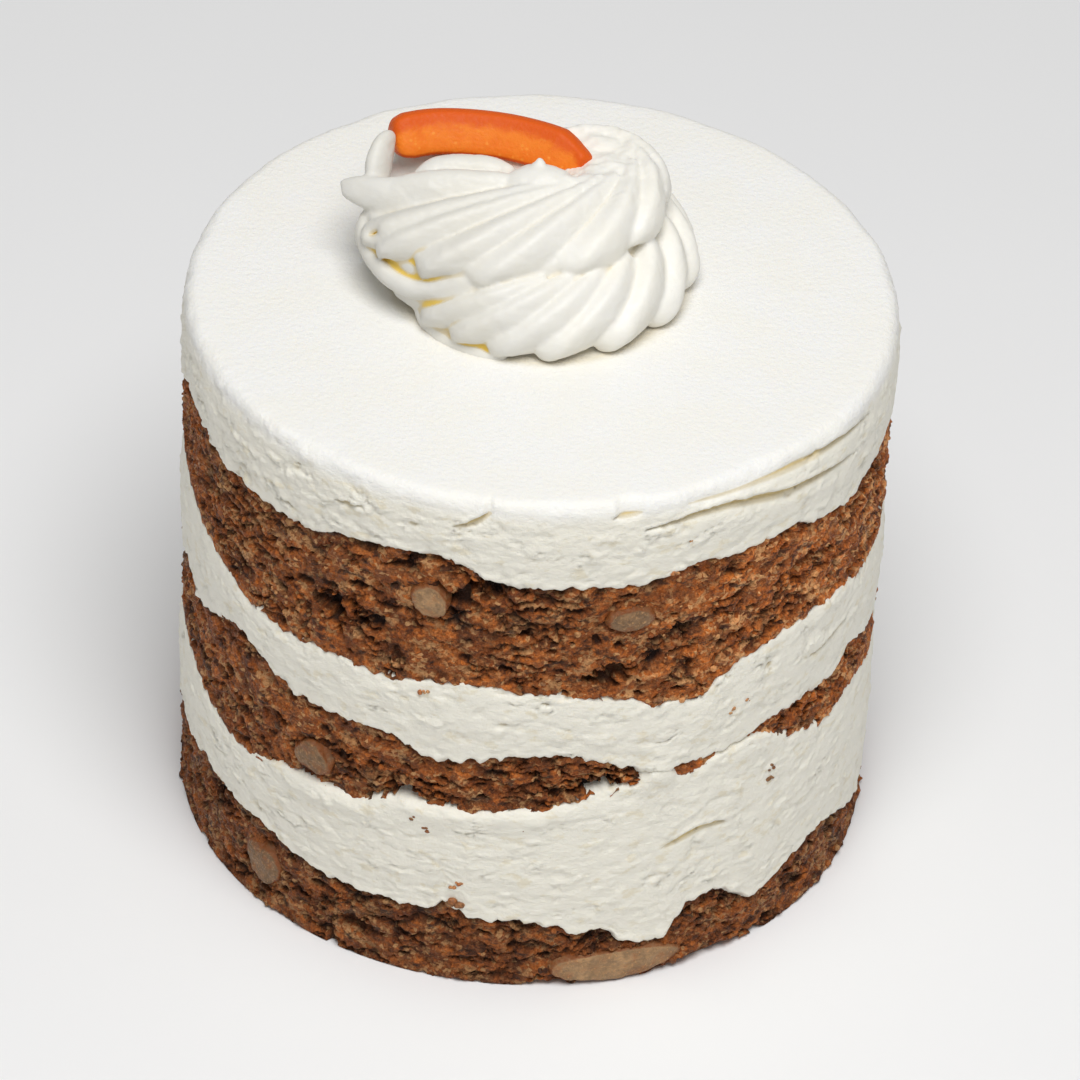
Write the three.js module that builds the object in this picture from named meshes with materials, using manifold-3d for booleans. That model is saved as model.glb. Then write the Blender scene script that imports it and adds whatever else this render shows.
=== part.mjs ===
// A small round carrot cake, cut with a ring: three nut sponges, two cream fillings, a thick
// cream top, a piped cream swirl, a curved orange wedge on the swirl and the nuts that show
// at the cut wall. Millimetres, +Z up. The origin is the centre of the flat underside and the
// front of the cake faces -Y. Angles round the wall are in degrees from the front, positive
// towards +X.
import * as THREE from "three";
import { mergeVertices } from "three/addons/utils/BufferGeometryUtils.js";
import Module from "manifold-3d";

const wasm = await Module();
wasm.setup();

// ---------------------------------------------------------------- driving dimensions
const CAKE_RADIUS = 40;
const CAKE_HEIGHT = 68.3; // underside to the flat cream top, without the swirl
const TOUCH_GAP = 0.3; // left between pieces that touch
const WALL_STEPS = 100; // facets round the wall
const RIM_ROUND = 1.6; // rounding between the cream top and its wall
const FOOT_INSET = 0.9; // the flat underside stops this far inside the wall
const CREAM_BULGE = 0.35; // cream stands this proud at the middle of its layer
const SPONGE_INSET = 0.25; // mean depth of the sponge wall inside CAKE_RADIUS
const CRAG_DEPTH = 0.75; // half range of the coarse crags on a sponge wall
const CREAM_RIPPLE = 0.15; // half range of the ripples on a cream wall
const WALL_PROUD = 0.15; // crumb and cut nuts stand no further outside CAKE_RADIUS than this
const CRUMB_SQUASH = 1.25; // crags are this much longer sideways than they are tall

// Each edge is where two layers meet at the wall: [angle, height], from the back round to the
// back. Inside the cake every edge flattens towards its mean height.
const EDGES = {
  lowerCreamFoot: [
    [-180, 10.5], [-160, 9], [-145, 11.5], [-130, 9.5], [-112, 12.5], [-96, 11], [-80, 12.5], [-70, 12],
    [-66, 13.4], [-60, 12.5], [-50, 12], [-45, 12.2], [-40, 10.8], [-30, 9.8], [-20, 10.1], [-14, 10],
    [-10, 12], [-6.5, 9.2], [0, 10], [7, 9.1], [10, 7.3], [15, 8.5], [17.5, 6.4], [20, 5], [25.5, 5.2],
    [27.5, 8], [30, 10.2], [37, 9.6], [40, 7.4], [44, 5.6], [48, 7.6], [55, 9], [60, 9.7], [65, 8.5],
    [70, 7], [76, 5], [84, 4.6], [96, 7], [112, 9.6], [128, 7.5], [145, 10], [165, 8.2], [180, 10.5],
  ],
  middleSpongeFoot: [
    [-180, 24], [-160, 25.5], [-140, 23], [-120, 25], [-100, 23.5], [-80, 25], [-70, 23.5], [-65, 22],
    [-58, 20.8], [-50, 20.3], [-45, 20.6], [-40, 21.4], [-35, 20.6], [-30, 22], [-25, 22.8], [-20, 24.4],
    [-15, 24], [-5, 24.3], [0, 24.6], [5, 26], [10, 27.4], [17, 28.2], [20.5, 28.9], [23, 29.2],
    [27, 28.2], [33, 29], [40, 29.8], [45, 28], [50, 27.3], [55, 26], [60, 25], [66, 26.4], [72, 26],
    [80, 24.4], [100, 26], [120, 24], [140, 26.5], [160, 23.6], [180, 24],
  ],
  upperCreamFoot: [
    [-180, 34.5], [-160, 33], [-140, 35.5], [-120, 33.6], [-100, 35], [-84, 34.4], [-76, 36.2], [-70, 34],
    [-65, 34.2], [-60, 36], [-54, 37.4], [-50, 36.9], [-45, 35.2], [-40, 34], [-28, 33.8], [-20.5, 34.2],
    [-18, 33], [-13, 31.3], [-9, 32.4], [-4, 33.1], [0, 33.7], [8, 33.9], [12, 33], [16, 31.8], [20, 30.9],
    [23, 30.3], [28, 30.2], [35, 30.5], [40, 31.2], [45, 32.2], [55, 31.8], [62, 31.6], [65, 33.9],
    [68, 32.6], [75, 31], [84, 30.4], [100, 33.5], [120, 31.5], [140, 34], [160, 32.6], [180, 34.5],
  ],
  topSpongeFoot: [
    [-180, 43], [-160, 44.5], [-140, 42], [-120, 44.2], [-100, 43.4], [-84, 48.4], [-76, 47.6], [-70, 46],
    [-65, 45], [-60, 44], [-55, 42.9], [-50, 41.8], [-40, 41.6], [-33, 42.1], [-28, 42.1], [-22, 41.4],
    [-18, 42.2], [-12, 42.8], [-5, 43.2], [0, 42.3], [4, 42.6], [8, 42], [14, 41.4], [19, 40.9],
    [21.5, 39.1], [23.5, 40.1], [26.5, 39.7], [30, 38.4], [32, 40.8], [35, 42.4], [40, 42.8], [45, 43.8],
    [50, 43.6], [60, 43], [65, 42], [70, 42.5], [80, 42.2], [100, 44], [120, 42.2], [140, 43.8],
    [160, 41.8], [180, 43],
  ],
  topCreamFoot: [
    [-180, 57.5], [-160, 58.8], [-140, 57], [-120, 59.4], [-100, 57.8], [-84, 59], [-76, 60.2], [-69, 59.6],
    [-65, 58.6], [-60, 57.6], [-50, 57.7], [-36, 57.8], [-33, 58.8], [-26, 59.5], [-20, 60.1], [-15.5, 60],
    [-13.5, 61], [-11.5, 60], [-9, 59.6], [-7, 58.4], [-3, 57.6], [0, 57.3], [5, 57.2], [8, 57.7],
    [12, 57], [20, 57.1], [22.5, 57.9], [28, 58.8], [33, 58.1], [43, 58.3], [45.5, 59], [51, 57],
    [56, 56.5], [62, 55.6], [65, 56.6], [70, 57], [77, 57.8], [84, 56.8], [100, 58.4], [120, 57],
    [140, 58.6], [160, 57.2], [180, 57.5],
  ],
  // Height of the lowest crumb at the wall, where the crumb stops short of the table.
  underside: [
    [-180, 0.15], [-152, 0.9], [-140, 0.15], [-100, 0.15], [-92, 0.6], [-84, 0.1], [-46, 0.1],
    [-41, 0.5], [-36, 0.1], [2, 0.1], [4.5, 1], [7, 1.1], [9.5, 0.2], [23, 0.25], [28, 0.9], [33, 1.8],
    [38, 1.2], [44, 0.2], [70, 0.2], [80, 0.5], [90, 0.1], [120, 0.9], [132, 0.15], [180, 0.15],
  ],
};

// Holes torn in the crumb: angle, height, half width, half height, depth.
const CRUMB_HOLES = [
  [-32, 48.2, 2.4, 1.7, 2.0],
  [-6, 57, 2.0, 1.4, 1.8],
  [-12, 54.6, 2.6, 1.3, 1.6],
  [14, 44.6, 2.2, 1.4, 1.4],
  [48, 51, 2.4, 1.5, 1.3],
  [-18.5, 25.2, 2.2, 1.4, 1.8],
  [13, 28.6, 3.0, 1.5, 1.8],
  [118, 50, 2.6, 1.7, 1.8],
  [-128, 52, 2.4, 1.8, 1.8],
  [168, 47, 2.2, 1.6, 1.8],
  [-150, 5.5, 2.6, 1.6, 1.6],
  [100, 29, 2.4, 1.5, 1.6],
];

// Nuts cut through at the wall: node, layer, angle, height, half width and half height of the
// cut face, half depth of the whole nut, and facets round it. The cut face is flush with the
// wall and lies NUT_CUT of the half depth off the nut's middle.
const NUT_CUT = 0.5;
const NUTS = [
  { name: "nut_front_foot", host: "sponge_bottom", angle: 17.3, height: 2.4, halfWide: 7, halfHigh: 2.05,
    halfDeep: 5, facets: 16 },
  { name: "nut_left_foot", host: "sponge_bottom", angle: -46, height: 6.2, halfWide: 2.9, halfHigh: 2.5,
    halfDeep: 3, facets: 12 },
  { name: "nut_middle", host: "sponge_middle", angle: -35, height: 26, halfWide: 2.4, halfHigh: 1.9,
    halfDeep: 2.6, facets: 12 },
  { name: "nut_top_left", host: "sponge_top", angle: -15.6, height: 53.7, halfWide: 2, halfHigh: 2,
    halfDeep: 2.4, facets: 12 },
  { name: "nut_top_right", host: "sponge_top", angle: 16.8, height: 52.2, halfWide: 2.5, halfHigh: 1.4,
    halfDeep: 2.4, facets: 12 },
  { name: "nut_back", host: "sponge_top", angle: 152, height: 51, halfWide: 3, halfHigh: 2.1,
    halfDeep: 2.8, facets: 12 },
];

// The swirl is two tiers of ridges and a loose strand. Directions in it are mathematical: from
// +X towards +Y. A tier is a stack of rows from its foot to its top, each [share of the tier's
// outline, height, ridge depth], and every ridge is named by the direction of its lower end.
const UPPER_TIER = {
  centre: [-4.4, 4.2],
  radiusX: 17.2,
  radiusFront: 14.2,
  radiusBack: 13.4,
  eye: [4.8, 8], // all ridges wind into the eye
  eyeRound: 12, // the rows turn round towards a circle of this radius near the eye
  windDegMm: 1450, // a ridge turns by windDegMm / (distance to the eye + windOffset)
  windOffset: 3,
  windStop: 4.2, // inside this distance to the eye the ridges turn no further
  rows: [
    [0.7, 74.6, 0], [0.84, 74.6, 0.7], [0.93, 74.9, 1.2], [0.995, 75.8, 1.6], [1.01, 77, 1.75],
    [0.975, 78.5, 1.65], [0.9, 79.8, 1.4], [0.79, 80.9, 1.1], [0.66, 81.6, 0.85], [0.53, 82.1, 0.6],
    [0.4, 82.3, 0.35], [0.22, 82.1, 0.12],
  ],
  ridges: [178, 199, 216, 247, 271, 305, 334, 361, 389, 418, 446, 472, 497, 518],
};
const LOWER_TIER = {
  centre: [-1, 3.3],
  radius: 17.4,
  radiusLeft: 15.6, // it draws in on the left, under the strand
  sweepDeg: 50, // a ridge turns by this on its way up
  rows: [
    [0.93, 68.6, 1.1], [0.99, 69.3, 1.5], [1.01, 70.6, 1.7], [0.98, 72.2, 1.6], [0.91, 73.8, 1.4],
    [0.82, 75.2, 1.1], [0.7, 76.4, 0.7],
  ],
  ridges: [201, 220, 236, 260, 276, 300, 321, 345, 368, 390, 412, 434, 456, 478, 499, 521, 541],
};
const RIDGE_SHARES = [0, 0.15, 0.32, 0.5, 0.68, 0.85]; // where a ridge is sampled, crease to crease
// The end of the first upper ridge is a free lip, the rim behind it stands up as a fin, and
// the cream is pressed in where the wedge lies.
const LIP = { at: [-20.5, 5.6], spread: [4.5, 3], reach: 2.2, lift: 2.6 };
const FIN = { at: [-19.6, 10.8], spread: [1.9, 3.2], lift: 3.4 };
const PRESSED = { ahead: 1.6, spread: 3, lift: -2.3 };
const STRAND = {
  radius: 1.2,
  path: [
    [-17.5, 8.5, 74.4], [-20.3, 4.8, 74.3], [-20.8, 0.8, 74.2], [-18.9, -3, 73.9],
    [-15.3, -6.4, 73.7], [-11.2, -8, 73.7], [-7.6, -7.4, 74.4],
  ],
};

// The wedge: the spine is the middle line of its cut face, which leans back by faceLean. The
// section is [forward of the face, up the face], from the lower corner round the skin.
const WEDGE = {
  spine: [
    [-17.1, 8.3, 81.9], [-13.2, 9.8, 82], [-9.2, 10.1, 82], [-4.8, 9.5, 82], [-0.6, 8.1, 81.9],
    [1.8, 6.6, 81.6], [2.9, 5.4, 81.2],
  ],
  faceLean: 38,
  halfFace: 2.25,
  section: [
    [0, -1], [-1.7, -0.98], [-3.5, -0.6], [-4.4, 0.2], [-3.8, 0.9], [-2.3, 1.25], [-0.8, 1.2],
    [0, 1], [0.22, 0],
  ],
  stations: 13,
};

// ---------------------------------------------------------------- helpers
const radians = THREE.MathUtils.degToRad;
const wallAngles = Array.from({ length: WALL_STEPS }, (_, i) => -180 + (360 * i) / WALL_STEPS);
const wallPoint = (angle, radius, z) =>
  new THREE.Vector3(radius * Math.sin(radians(angle)), -radius * Math.cos(radians(angle)), z);

// Height of an edge at an angle, by straight lines between its points.
function edgeHeight(edge, angle) {
  const next = Math.max(1, edge.findIndex(([a]) => a >= angle));
  const [a0, z0] = edge[next - 1];
  const [a1, z1] = edge[next];
  return z0 + ((z1 - z0) * (angle - a0)) / (a1 - a0);
}
const meanHeight = (edge) =>
  wallAngles.reduce((sum, angle) => sum + edgeHeight(edge, angle), 0) / WALL_STEPS;

// Smooth noise from -1 to 1, the same on every run.
function latticeValue(x, y, z) {
  const h = Math.sin(x * 127.1 + y * 311.7 + z * 74.7) * 43758.5453;
  return 2 * (h - Math.floor(h)) - 1;
}
function noise(point, scale, seed) {
  const p = point.clone().divideScalar(scale).addScalar(seed);
  const base = p.clone().floor();
  const f = p.clone().sub(base);
  const ease = (t) => t * t * (3 - 2 * t);
  const [fx, fy, fz] = [ease(f.x), ease(f.y), ease(f.z)];
  const mix = THREE.MathUtils.lerp;
  const corner = (i, j, k) => latticeValue(base.x + i, base.y + j, base.z + k);
  const plane = (k) =>
    mix(mix(corner(0, 0, k), corner(1, 0, k), fx), mix(corner(0, 1, k), corner(1, 1, k), fx), fy);
  return mix(plane(0), plane(1), fz);
}

// A closed mesh from rings of points, low to high, with a fan to a centre at each end.
function loft(rings, firstCentre, lastCentre) {
  const count = rings[0].length;
  const points = [firstCentre, ...rings.flat(), lastCentre];
  const at = (ring, i) => 1 + ring * count + (i % count);
  const faces = [];
  for (let i = 0; i < count; i++) {
    faces.push(0, at(0, i + 1), at(0, i));
    for (let ring = 0; ring + 1 < rings.length; ring++) {
      faces.push(at(ring, i), at(ring, i + 1), at(ring + 1, i + 1));
      faces.push(at(ring, i), at(ring + 1, i + 1), at(ring + 1, i));
    }
    faces.push(points.length - 1, at(rings.length - 1, i), at(rings.length - 1, i + 1));
  }
  const geometry = new THREE.BufferGeometry().setFromPoints(points);
  geometry.setIndex(faces);
  return geometry;
}

// A three.js geometry as a solid that can be joined and cut, and back again.
function solidOf(geometry) {
  const bare = geometry.clone();
  bare.deleteAttribute("normal");
  bare.deleteAttribute("uv");
  const merged = mergeVertices(bare, 1e-4);
  return new wasm.Manifold(
    new wasm.Mesh({
      numProp: 3,
      vertProperties: merged.attributes.position.array,
      triVerts: new Uint32Array(merged.index.array),
    }),
  );
}
function geometryOf(solid) {
  const mesh = solid.getMesh();
  const geometry = new THREE.BufferGeometry();
  geometry.setAttribute("position", new THREE.BufferAttribute(mesh.vertProperties, 3));
  geometry.setIndex(new THREE.BufferAttribute(mesh.triVerts, 1));
  return geometry;
}
const fuse = (solids) => solids.reduce((whole, next) => whole.add(next));

// ---------------------------------------------------------------- walls
// Sponge: crags at two scales, and the named holes.
function spongeRadius(angle, z) {
  const p = wallPoint(angle, CAKE_RADIUS, z * CRUMB_SQUASH);
  const crags = 0.65 * noise(p, 5.5, 11) + 0.35 * noise(p, 2.7, 23);
  let radius = CAKE_RADIUS - SPONGE_INSET + CRAG_DEPTH * crags;
  for (const [holeAngle, holeZ, halfWide, halfHigh, depth] of CRUMB_HOLES) {
    const across = (radians(angle - holeAngle) * CAKE_RADIUS) / halfWide;
    const up = (z - holeZ) / halfHigh;
    radius -= depth * Math.exp(-(across * across + up * up));
  }
  return Math.min(radius, CAKE_RADIUS + WALL_PROUD);
}
// Cream: a slight bulge between its two edges, with shallow ripples.
function creamRadius(angle, z, share) {
  const ripple = CREAM_RIPPLE * noise(wallPoint(angle, CAKE_RADIUS, z * 2), 6, 5);
  return CAKE_RADIUS - 0.1 + CREAM_BULGE * 4 * share * (1 - share) + ripple;
}

// The wall of a layer between two edges, in rows, as rings of points.
function wallRings(foot, head, rows, radiusAt, footGap, headGap) {
  return Array.from({ length: rows + 1 }, (_, row) => {
    const share = row / rows;
    return wallAngles.map((angle) => {
      const low = edgeHeight(foot, angle) + footGap;
      const high = edgeHeight(head, angle) - headGap;
      const z = THREE.MathUtils.lerp(low, high, share);
      return wallPoint(angle, radiusAt(angle, z, share), z);
    });
  });
}

// A layer between two edges, each flattening from the wall to its mean height at the centre.
function layerGeometry(foot, head, rows, radiusAt) {
  const gap = TOUCH_GAP / 2;
  const rings = wallRings(foot, head, rows, radiusAt, gap, gap);
  const low = new THREE.Vector3(0, 0, meanHeight(foot) + gap);
  const high = new THREE.Vector3(0, 0, meanHeight(head) - gap);
  return loft(rings, low, high);
}

// The bottom sponge stands on a flat face a little inside its ragged wall.
function bottomSpongeGeometry() {
  const gap = TOUCH_GAP / 2;
  const flat = wallAngles.map((angle) => wallPoint(angle, CAKE_RADIUS - FOOT_INSET, 0));
  const wall = wallRings(EDGES.underside, EDGES.lowerCreamFoot, 4, spongeRadius, 0, gap);
  const high = new THREE.Vector3(0, 0, meanHeight(EDGES.lowerCreamFoot) - gap);
  return loft([flat, ...wall], new THREE.Vector3(0, 0, 0), high);
}

// The cream top: its wall, a rounded rim and a flat face with a hardly visible sag.
function topCreamGeometry() {
  const gap = TOUCH_GAP / 2;
  const foot = EDGES.topCreamFoot;
  const wallTop = [[-180, CAKE_HEIGHT - RIM_ROUND], [180, CAKE_HEIGHT - RIM_ROUND]];
  const rings = wallRings(foot, wallTop, 3, creamRadius, gap, 0);
  for (const turn of [35, 65, 90]) {
    const inward = RIM_ROUND * (1 - Math.cos(radians(turn)));
    const up = RIM_ROUND * Math.sin(radians(turn));
    rings.push(
      wallAngles.map((angle) =>
        wallPoint(angle, creamRadius(angle, CAKE_HEIGHT, 1) - inward, CAKE_HEIGHT - RIM_ROUND + up),
      ),
    );
  }
  const low = new THREE.Vector3(0, 0, meanHeight(foot) + gap);
  return loft(rings, low, new THREE.Vector3(0, 0, CAKE_HEIGHT));
}

// ---------------------------------------------------------------- nuts
// An ellipsoid lying along the wall and cut flush with it. The pocket for a nut is the nut
// grown by a margin and left uncut.
function nutSolid(nut, margin) {
  const whole = 1 / Math.sqrt(1 - NUT_CUT ** 2);
  const middle = CAKE_RADIUS + WALL_PROUD - NUT_CUT * nut.halfDeep;
  const geometry = new THREE.SphereGeometry(1, nut.facets, nut.facets / 2);
  geometry.scale(nut.halfWide * whole + margin, nut.halfDeep + margin, nut.halfHigh * whole + margin);
  geometry.rotateZ(radians(nut.angle));
  geometry.translate(...wallPoint(nut.angle, middle, nut.height).toArray());
  return solidOf(geometry);
}
function cutNutSolid(nut) {
  const ring = CAKE_RADIUS + WALL_PROUD;
  const knife = new THREE.CylinderGeometry(ring, ring, 2 * CAKE_HEIGHT, 2 * WALL_STEPS);
  return nutSolid(nut, 0).intersect(solidOf(knife.rotateX(Math.PI / 2)));
}

// ---------------------------------------------------------------- swirl
// A bump that adds its lift round a place in plan.
function bump({ at, spread, lift }, x, y) {
  return lift * Math.exp(-(((x - at[0]) / spread[0]) ** 2) - ((y - at[1]) / spread[1]) ** 2);
}

// The ridges of a tier as columns { direction, depth }, where depth runs from -1 in a crease to
// 1 on a crest. A narrow ridge is shallower.
function ridgeColumns(ridges) {
  return ridges.flatMap((crest, i) => {
    const before = i > 0 ? ridges[i - 1] : ridges[ridges.length - 1] - 360;
    const after = i + 1 < ridges.length ? ridges[i + 1] : ridges[0] + 360;
    const [from, to] = [(before + crest) / 2, (crest + after) / 2];
    const strength = Math.min(1, (to - from) / 22);
    return RIDGE_SHARES.map((share) => {
      const round = 2 * Math.sin(Math.PI * share) ** 0.8 - 1;
      return { direction: from + (to - from) * share, depth: round * strength };
    });
  });
}

// Distance from the upper tier's eye to its outline in a direction.
function upperOutline(direction) {
  const { centre, radiusX, radiusFront, radiusBack, eye } = UPPER_TIER;
  const [dx, dy] = [Math.cos(radians(direction)), Math.sin(radians(direction))];
  let [low, high] = [0, 60];
  for (let i = 0; i < 24; i++) {
    const r = (low + high) / 2;
    const x = (eye[0] + r * dx - centre[0]) / radiusX;
    const y = eye[1] + r * dy - centre[1];
    const inside = x * x + (y / (y < 0 ? radiusFront : radiusBack)) ** 2 < 1;
    if (inside) low = r;
    else high = r;
  }
  return low;
}

// Distance to the eye on a row: the outline's shape outside, a circle near the eye.
function upperRadius(share, direction) {
  const inward = Math.min(share, 1);
  const round = THREE.MathUtils.lerp(UPPER_TIER.eyeRound, upperOutline(direction), inward);
  return share * round;
}

// Follows a ridge inwards from the direction of its lower end to a row.
function upperDirection(share, lowerEnd) {
  const { windDegMm, windOffset, windStop } = UPPER_TIER;
  const wind = (radius) => windDegMm / (Math.max(radius, windStop) + windOffset);
  const label = lowerEnd - wind(upperRadius(1, lowerEnd));
  let [low, high] = [label, label + wind(0)];
  for (let i = 0; i < 28; i++) {
    const middle = (low + high) / 2;
    if (middle - wind(upperRadius(share, middle)) < label) low = middle;
    else high = middle;
  }
  return (low + high) / 2;
}

// Plan distance to a line a little ahead of the wedge's spine.
const wedgeLine = new THREE.CatmullRomCurve3(WEDGE.spine.map((p) => new THREE.Vector3(...p)));
const wedgeMarks = wedgeLine.getPoints(30).map((p) => [p.x, p.y - PRESSED.ahead]);
const wedgeDistance = (x, y) => Math.min(...wedgeMarks.map(([a, b]) => Math.hypot(x - a, y - b)));

// Rings of a tier. place(share, direction) gives the plan position and the way out from the
// tier's middle; the ridges stand out square to the tier's side.
function tierRings(rows, columns, place) {
  return rows.map(([share, z, depth], i) => {
    const below = rows[Math.max(i - 1, 0)];
    const above = rows[Math.min(i + 1, rows.length - 1)];
    return columns.map((column) => {
      const { x, y, out, size } = place(share, column.direction);
      const rise = new THREE.Vector2((above[0] - below[0]) * size, above[1] - below[1]).normalize();
      const away = depth * column.depth;
      const point = new THREE.Vector3(x, y, z).addScaledVector(out, away * rise.y);
      point.z -= away * rise.x;
      return point;
    });
  });
}

function upperTierSolid() {
  const { centre, eye, rows, ridges } = UPPER_TIER;
  const place = (share, lowerEnd) => {
    const direction = upperDirection(share, lowerEnd);
    const radius = upperRadius(share, direction);
    const [x, y] = [Math.cos(radians(direction)), Math.sin(radians(direction))];
    const plan = { x: eye[0] + radius * x, y: eye[1] + radius * y };
    return { ...plan, out: new THREE.Vector3(x, y, 0), size: upperOutline(direction) };
  };
  // Ridge ends are named from the tier's centre; the ridges are followed from the eye.
  const fromEye = (direction) => {
    const [dx, dy] = [Math.cos(radians(direction)), Math.sin(radians(direction))];
    const x = centre[0] + UPPER_TIER.radiusX * dx - eye[0];
    const y = centre[1] + UPPER_TIER.radiusFront * dy - eye[1];
    const seen = THREE.MathUtils.radToDeg(Math.atan2(y, x));
    return seen + 360 * Math.round((direction - seen) / 360);
  };
  const columns = ridgeColumns(ridges.map(fromEye));
  const rings = tierRings(rows, columns, place);
  for (const point of rings.flat()) {
    const upper = THREE.MathUtils.smoothstep(point.z, 75, 78.5);
    const { x, y } = point;
    const pressed = PRESSED.lift * Math.exp(-((wedgeDistance(x, y) / PRESSED.spread) ** 2));
    point.z += upper * (bump(FIN, x, y) + bump(LIP, x, y) + pressed);
    point.x -= (upper * LIP.reach * bump(LIP, x, y)) / LIP.lift;
  }
  const top = new THREE.Vector3(eye[0], eye[1], rows[rows.length - 1][1] - 0.4);
  return solidOf(loft(rings, new THREE.Vector3(centre[0], centre[1], rows[0][1]), top));
}

function lowerTierSolid() {
  const { centre, radius, radiusLeft, sweepDeg, rows, ridges } = LOWER_TIER;
  const [foot, top] = [rows[1][1], rows[rows.length - 1][1]];
  const rings = rows.map((row) => {
    const turned = sweepDeg * Math.max(0, (row[1] - foot) / (top - foot)) ** 1.15;
    const place = (share, lowerEnd) => {
      const direction = radians(lowerEnd + turned);
      const [x, y] = [Math.cos(direction), Math.sin(direction)];
      const left = Math.max(0, Math.cos(direction - radians(195))) ** 2;
      const size = THREE.MathUtils.lerp(radius, radiusLeft, left);
      const plan = { x: centre[0] + share * size * x, y: centre[1] + share * size * y };
      return { ...plan, out: new THREE.Vector3(x, y, 0), size };
    };
    return tierRings(rows, ridgeColumns(ridges), place)[rows.indexOf(row)];
  });
  for (const point of rings[0]) point.z = rows[0][1];
  const middle = (z) => new THREE.Vector3(centre[0], centre[1], z);
  return solidOf(loft(rings, middle(rows[0][1]), middle(top)));
}

// The loose strand: a round tube with pointed ends.
function strandSolid() {
  const curve = new THREE.CatmullRomCurve3(STRAND.path.map((p) => new THREE.Vector3(...p)));
  const [stations, sides] = [12, 8];
  const rings = Array.from({ length: stations + 1 }, (_, k) => {
    const t = k / stations;
    const at = curve.getPointAt(t);
    const along = curve.getTangentAt(t);
    const side = new THREE.Vector3(0, 0, 1).cross(along).normalize();
    const up = along.clone().cross(side);
    const radius = STRAND.radius * Math.min(1, 0.5 + 3 * Math.min(t, 1 - t));
    return Array.from({ length: sides }, (_, i) => {
      const turn = (2 * Math.PI * i) / sides;
      const [a, b] = [radius * Math.cos(turn), radius * Math.sin(turn)];
      return at.clone().addScaledVector(side, a).addScaledVector(up, b);
    });
  });
  return solidOf(loft(rings, curve.getPointAt(0), curve.getPointAt(1)));
}

// ---------------------------------------------------------------- wedge
// A curved wedge: a cut face to the front, a round skin behind, blunt ends.
function wedgeSolid(margin) {
  const spine = new THREE.CatmullRomCurve3(WEDGE.spine.map((p) => new THREE.Vector3(...p)));
  const lean = radians(WEDGE.faceLean);
  const rings = [];
  for (let k = 0; k <= WEDGE.stations; k++) {
    const t = k / WEDGE.stations;
    const at = spine.getPointAt(t);
    const along = spine.getTangentAt(t);
    const level = new THREE.Vector3(along.y, -along.x, 0).normalize(); // to the front, level
    const face = level.clone().multiplyScalar(Math.cos(lean)).setZ(Math.sin(lean));
    const up = face.clone().cross(along).normalize();
    const full = Math.min(1, 0.8 + 2.4 * t, 0.55 + 3 * (1 - t));
    rings.push(
      WEDGE.section.map(([forward, share]) => {
        const away = new THREE.Vector2(forward + 1.9, share * WEDGE.halfFace).multiplyScalar(full);
        away.setLength(away.length() + margin);
        return at.clone().addScaledVector(face, away.x - 1.9 * full).addScaledVector(up, away.y);
      }),
    );
  }
  const capAt = (ring, t, push) => {
    const centre = ring.reduce((sum, p) => sum.add(p), new THREE.Vector3()).divideScalar(ring.length);
    return centre.addScaledVector(spine.getTangentAt(t), push);
  };
  const endPush = 0.4 + margin;
  const first = capAt(rings[0], 0, -endPush);
  const last = capAt(rings[rings.length - 1], 1, endPush);
  return solidOf(loft(rings, first, last));
}

// ---------------------------------------------------------------- build
const layers = {
  sponge_bottom: solidOf(bottomSpongeGeometry()),
  cream_lower: solidOf(layerGeometry(EDGES.lowerCreamFoot, EDGES.middleSpongeFoot, 5, creamRadius)),
  sponge_middle: solidOf(layerGeometry(EDGES.middleSpongeFoot, EDGES.upperCreamFoot, 4, spongeRadius)),
  cream_upper: solidOf(layerGeometry(EDGES.upperCreamFoot, EDGES.topSpongeFoot, 4, creamRadius)),
  sponge_top: solidOf(layerGeometry(EDGES.topSpongeFoot, EDGES.topCreamFoot, 6, spongeRadius)),
  cream_top: solidOf(topCreamGeometry()),
};
const nuts = {};
for (const nut of NUTS) {
  layers[nut.host] = layers[nut.host].subtract(nutSolid(nut, TOUCH_GAP));
  nuts[nut.name] = cutNutSolid(nut);
}

const wedge = wedgeSolid(0);
const swirl = fuse([upperTierSolid(), lowerTierSolid(), strandSolid()])
  .subtract(wedgeSolid(TOUCH_GAP))
  .decompose()
  .sort((a, b) => b.volume() - a.volume())[0];
for (const piece of [wedge, swirl]) {
  if (piece.volume() <= 0) throw new Error("a piece is inside out");
}

const materials = {
  sponge: new THREE.MeshStandardMaterial({ color: 0x7a4526, roughness: 0.75, metalness: 0 }),
  cream: new THREE.MeshStandardMaterial({ color: 0xf1eee4, roughness: 0.5, metalness: 0 }),
  piped: new THREE.MeshStandardMaterial({ color: 0xf4f2ec, roughness: 0.42, metalness: 0 }),
  nut: new THREE.MeshStandardMaterial({ color: 0x9a7a60, roughness: 0.5, metalness: 0 }),
  wedge: new THREE.MeshStandardMaterial({ color: 0xee7a28, roughness: 0.4, metalness: 0 }),
};

const cake = new THREE.Group();
function addNode(name, solid, material) {
  const mesh = new THREE.Mesh(geometryOf(solid), material);
  mesh.name = name;
  cake.add(mesh);
}
for (const [name, solid] of Object.entries(layers)) {
  addNode(name, solid, name.startsWith("sponge") ? materials.sponge : materials.cream);
}
addNode("cream_swirl", swirl, materials.piped);
addNode("orange_wedge", wedge, materials.wedge);
for (const [name, solid] of Object.entries(nuts)) addNode(name, solid, materials.nut);

export default cake;
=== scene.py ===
"""A small round carrot cake: nut sponges, cream fillings, a cream top, a piped swirl with an
orange wedge on it, and the nuts and loose crumbs of its cut wall. Lengths in the tables are
millimetres; the meshes are metres. The origin is the centre of the flat underside, +Z is up and
the front faces -Y. Angles round the wall are in degrees from the front, positive towards +X."""
import math

import bpy
import numpy as np
from bpy.props import FloatProperty, FloatVectorProperty, IntProperty, PointerProperty
from mathutils import Matrix, Vector


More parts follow.
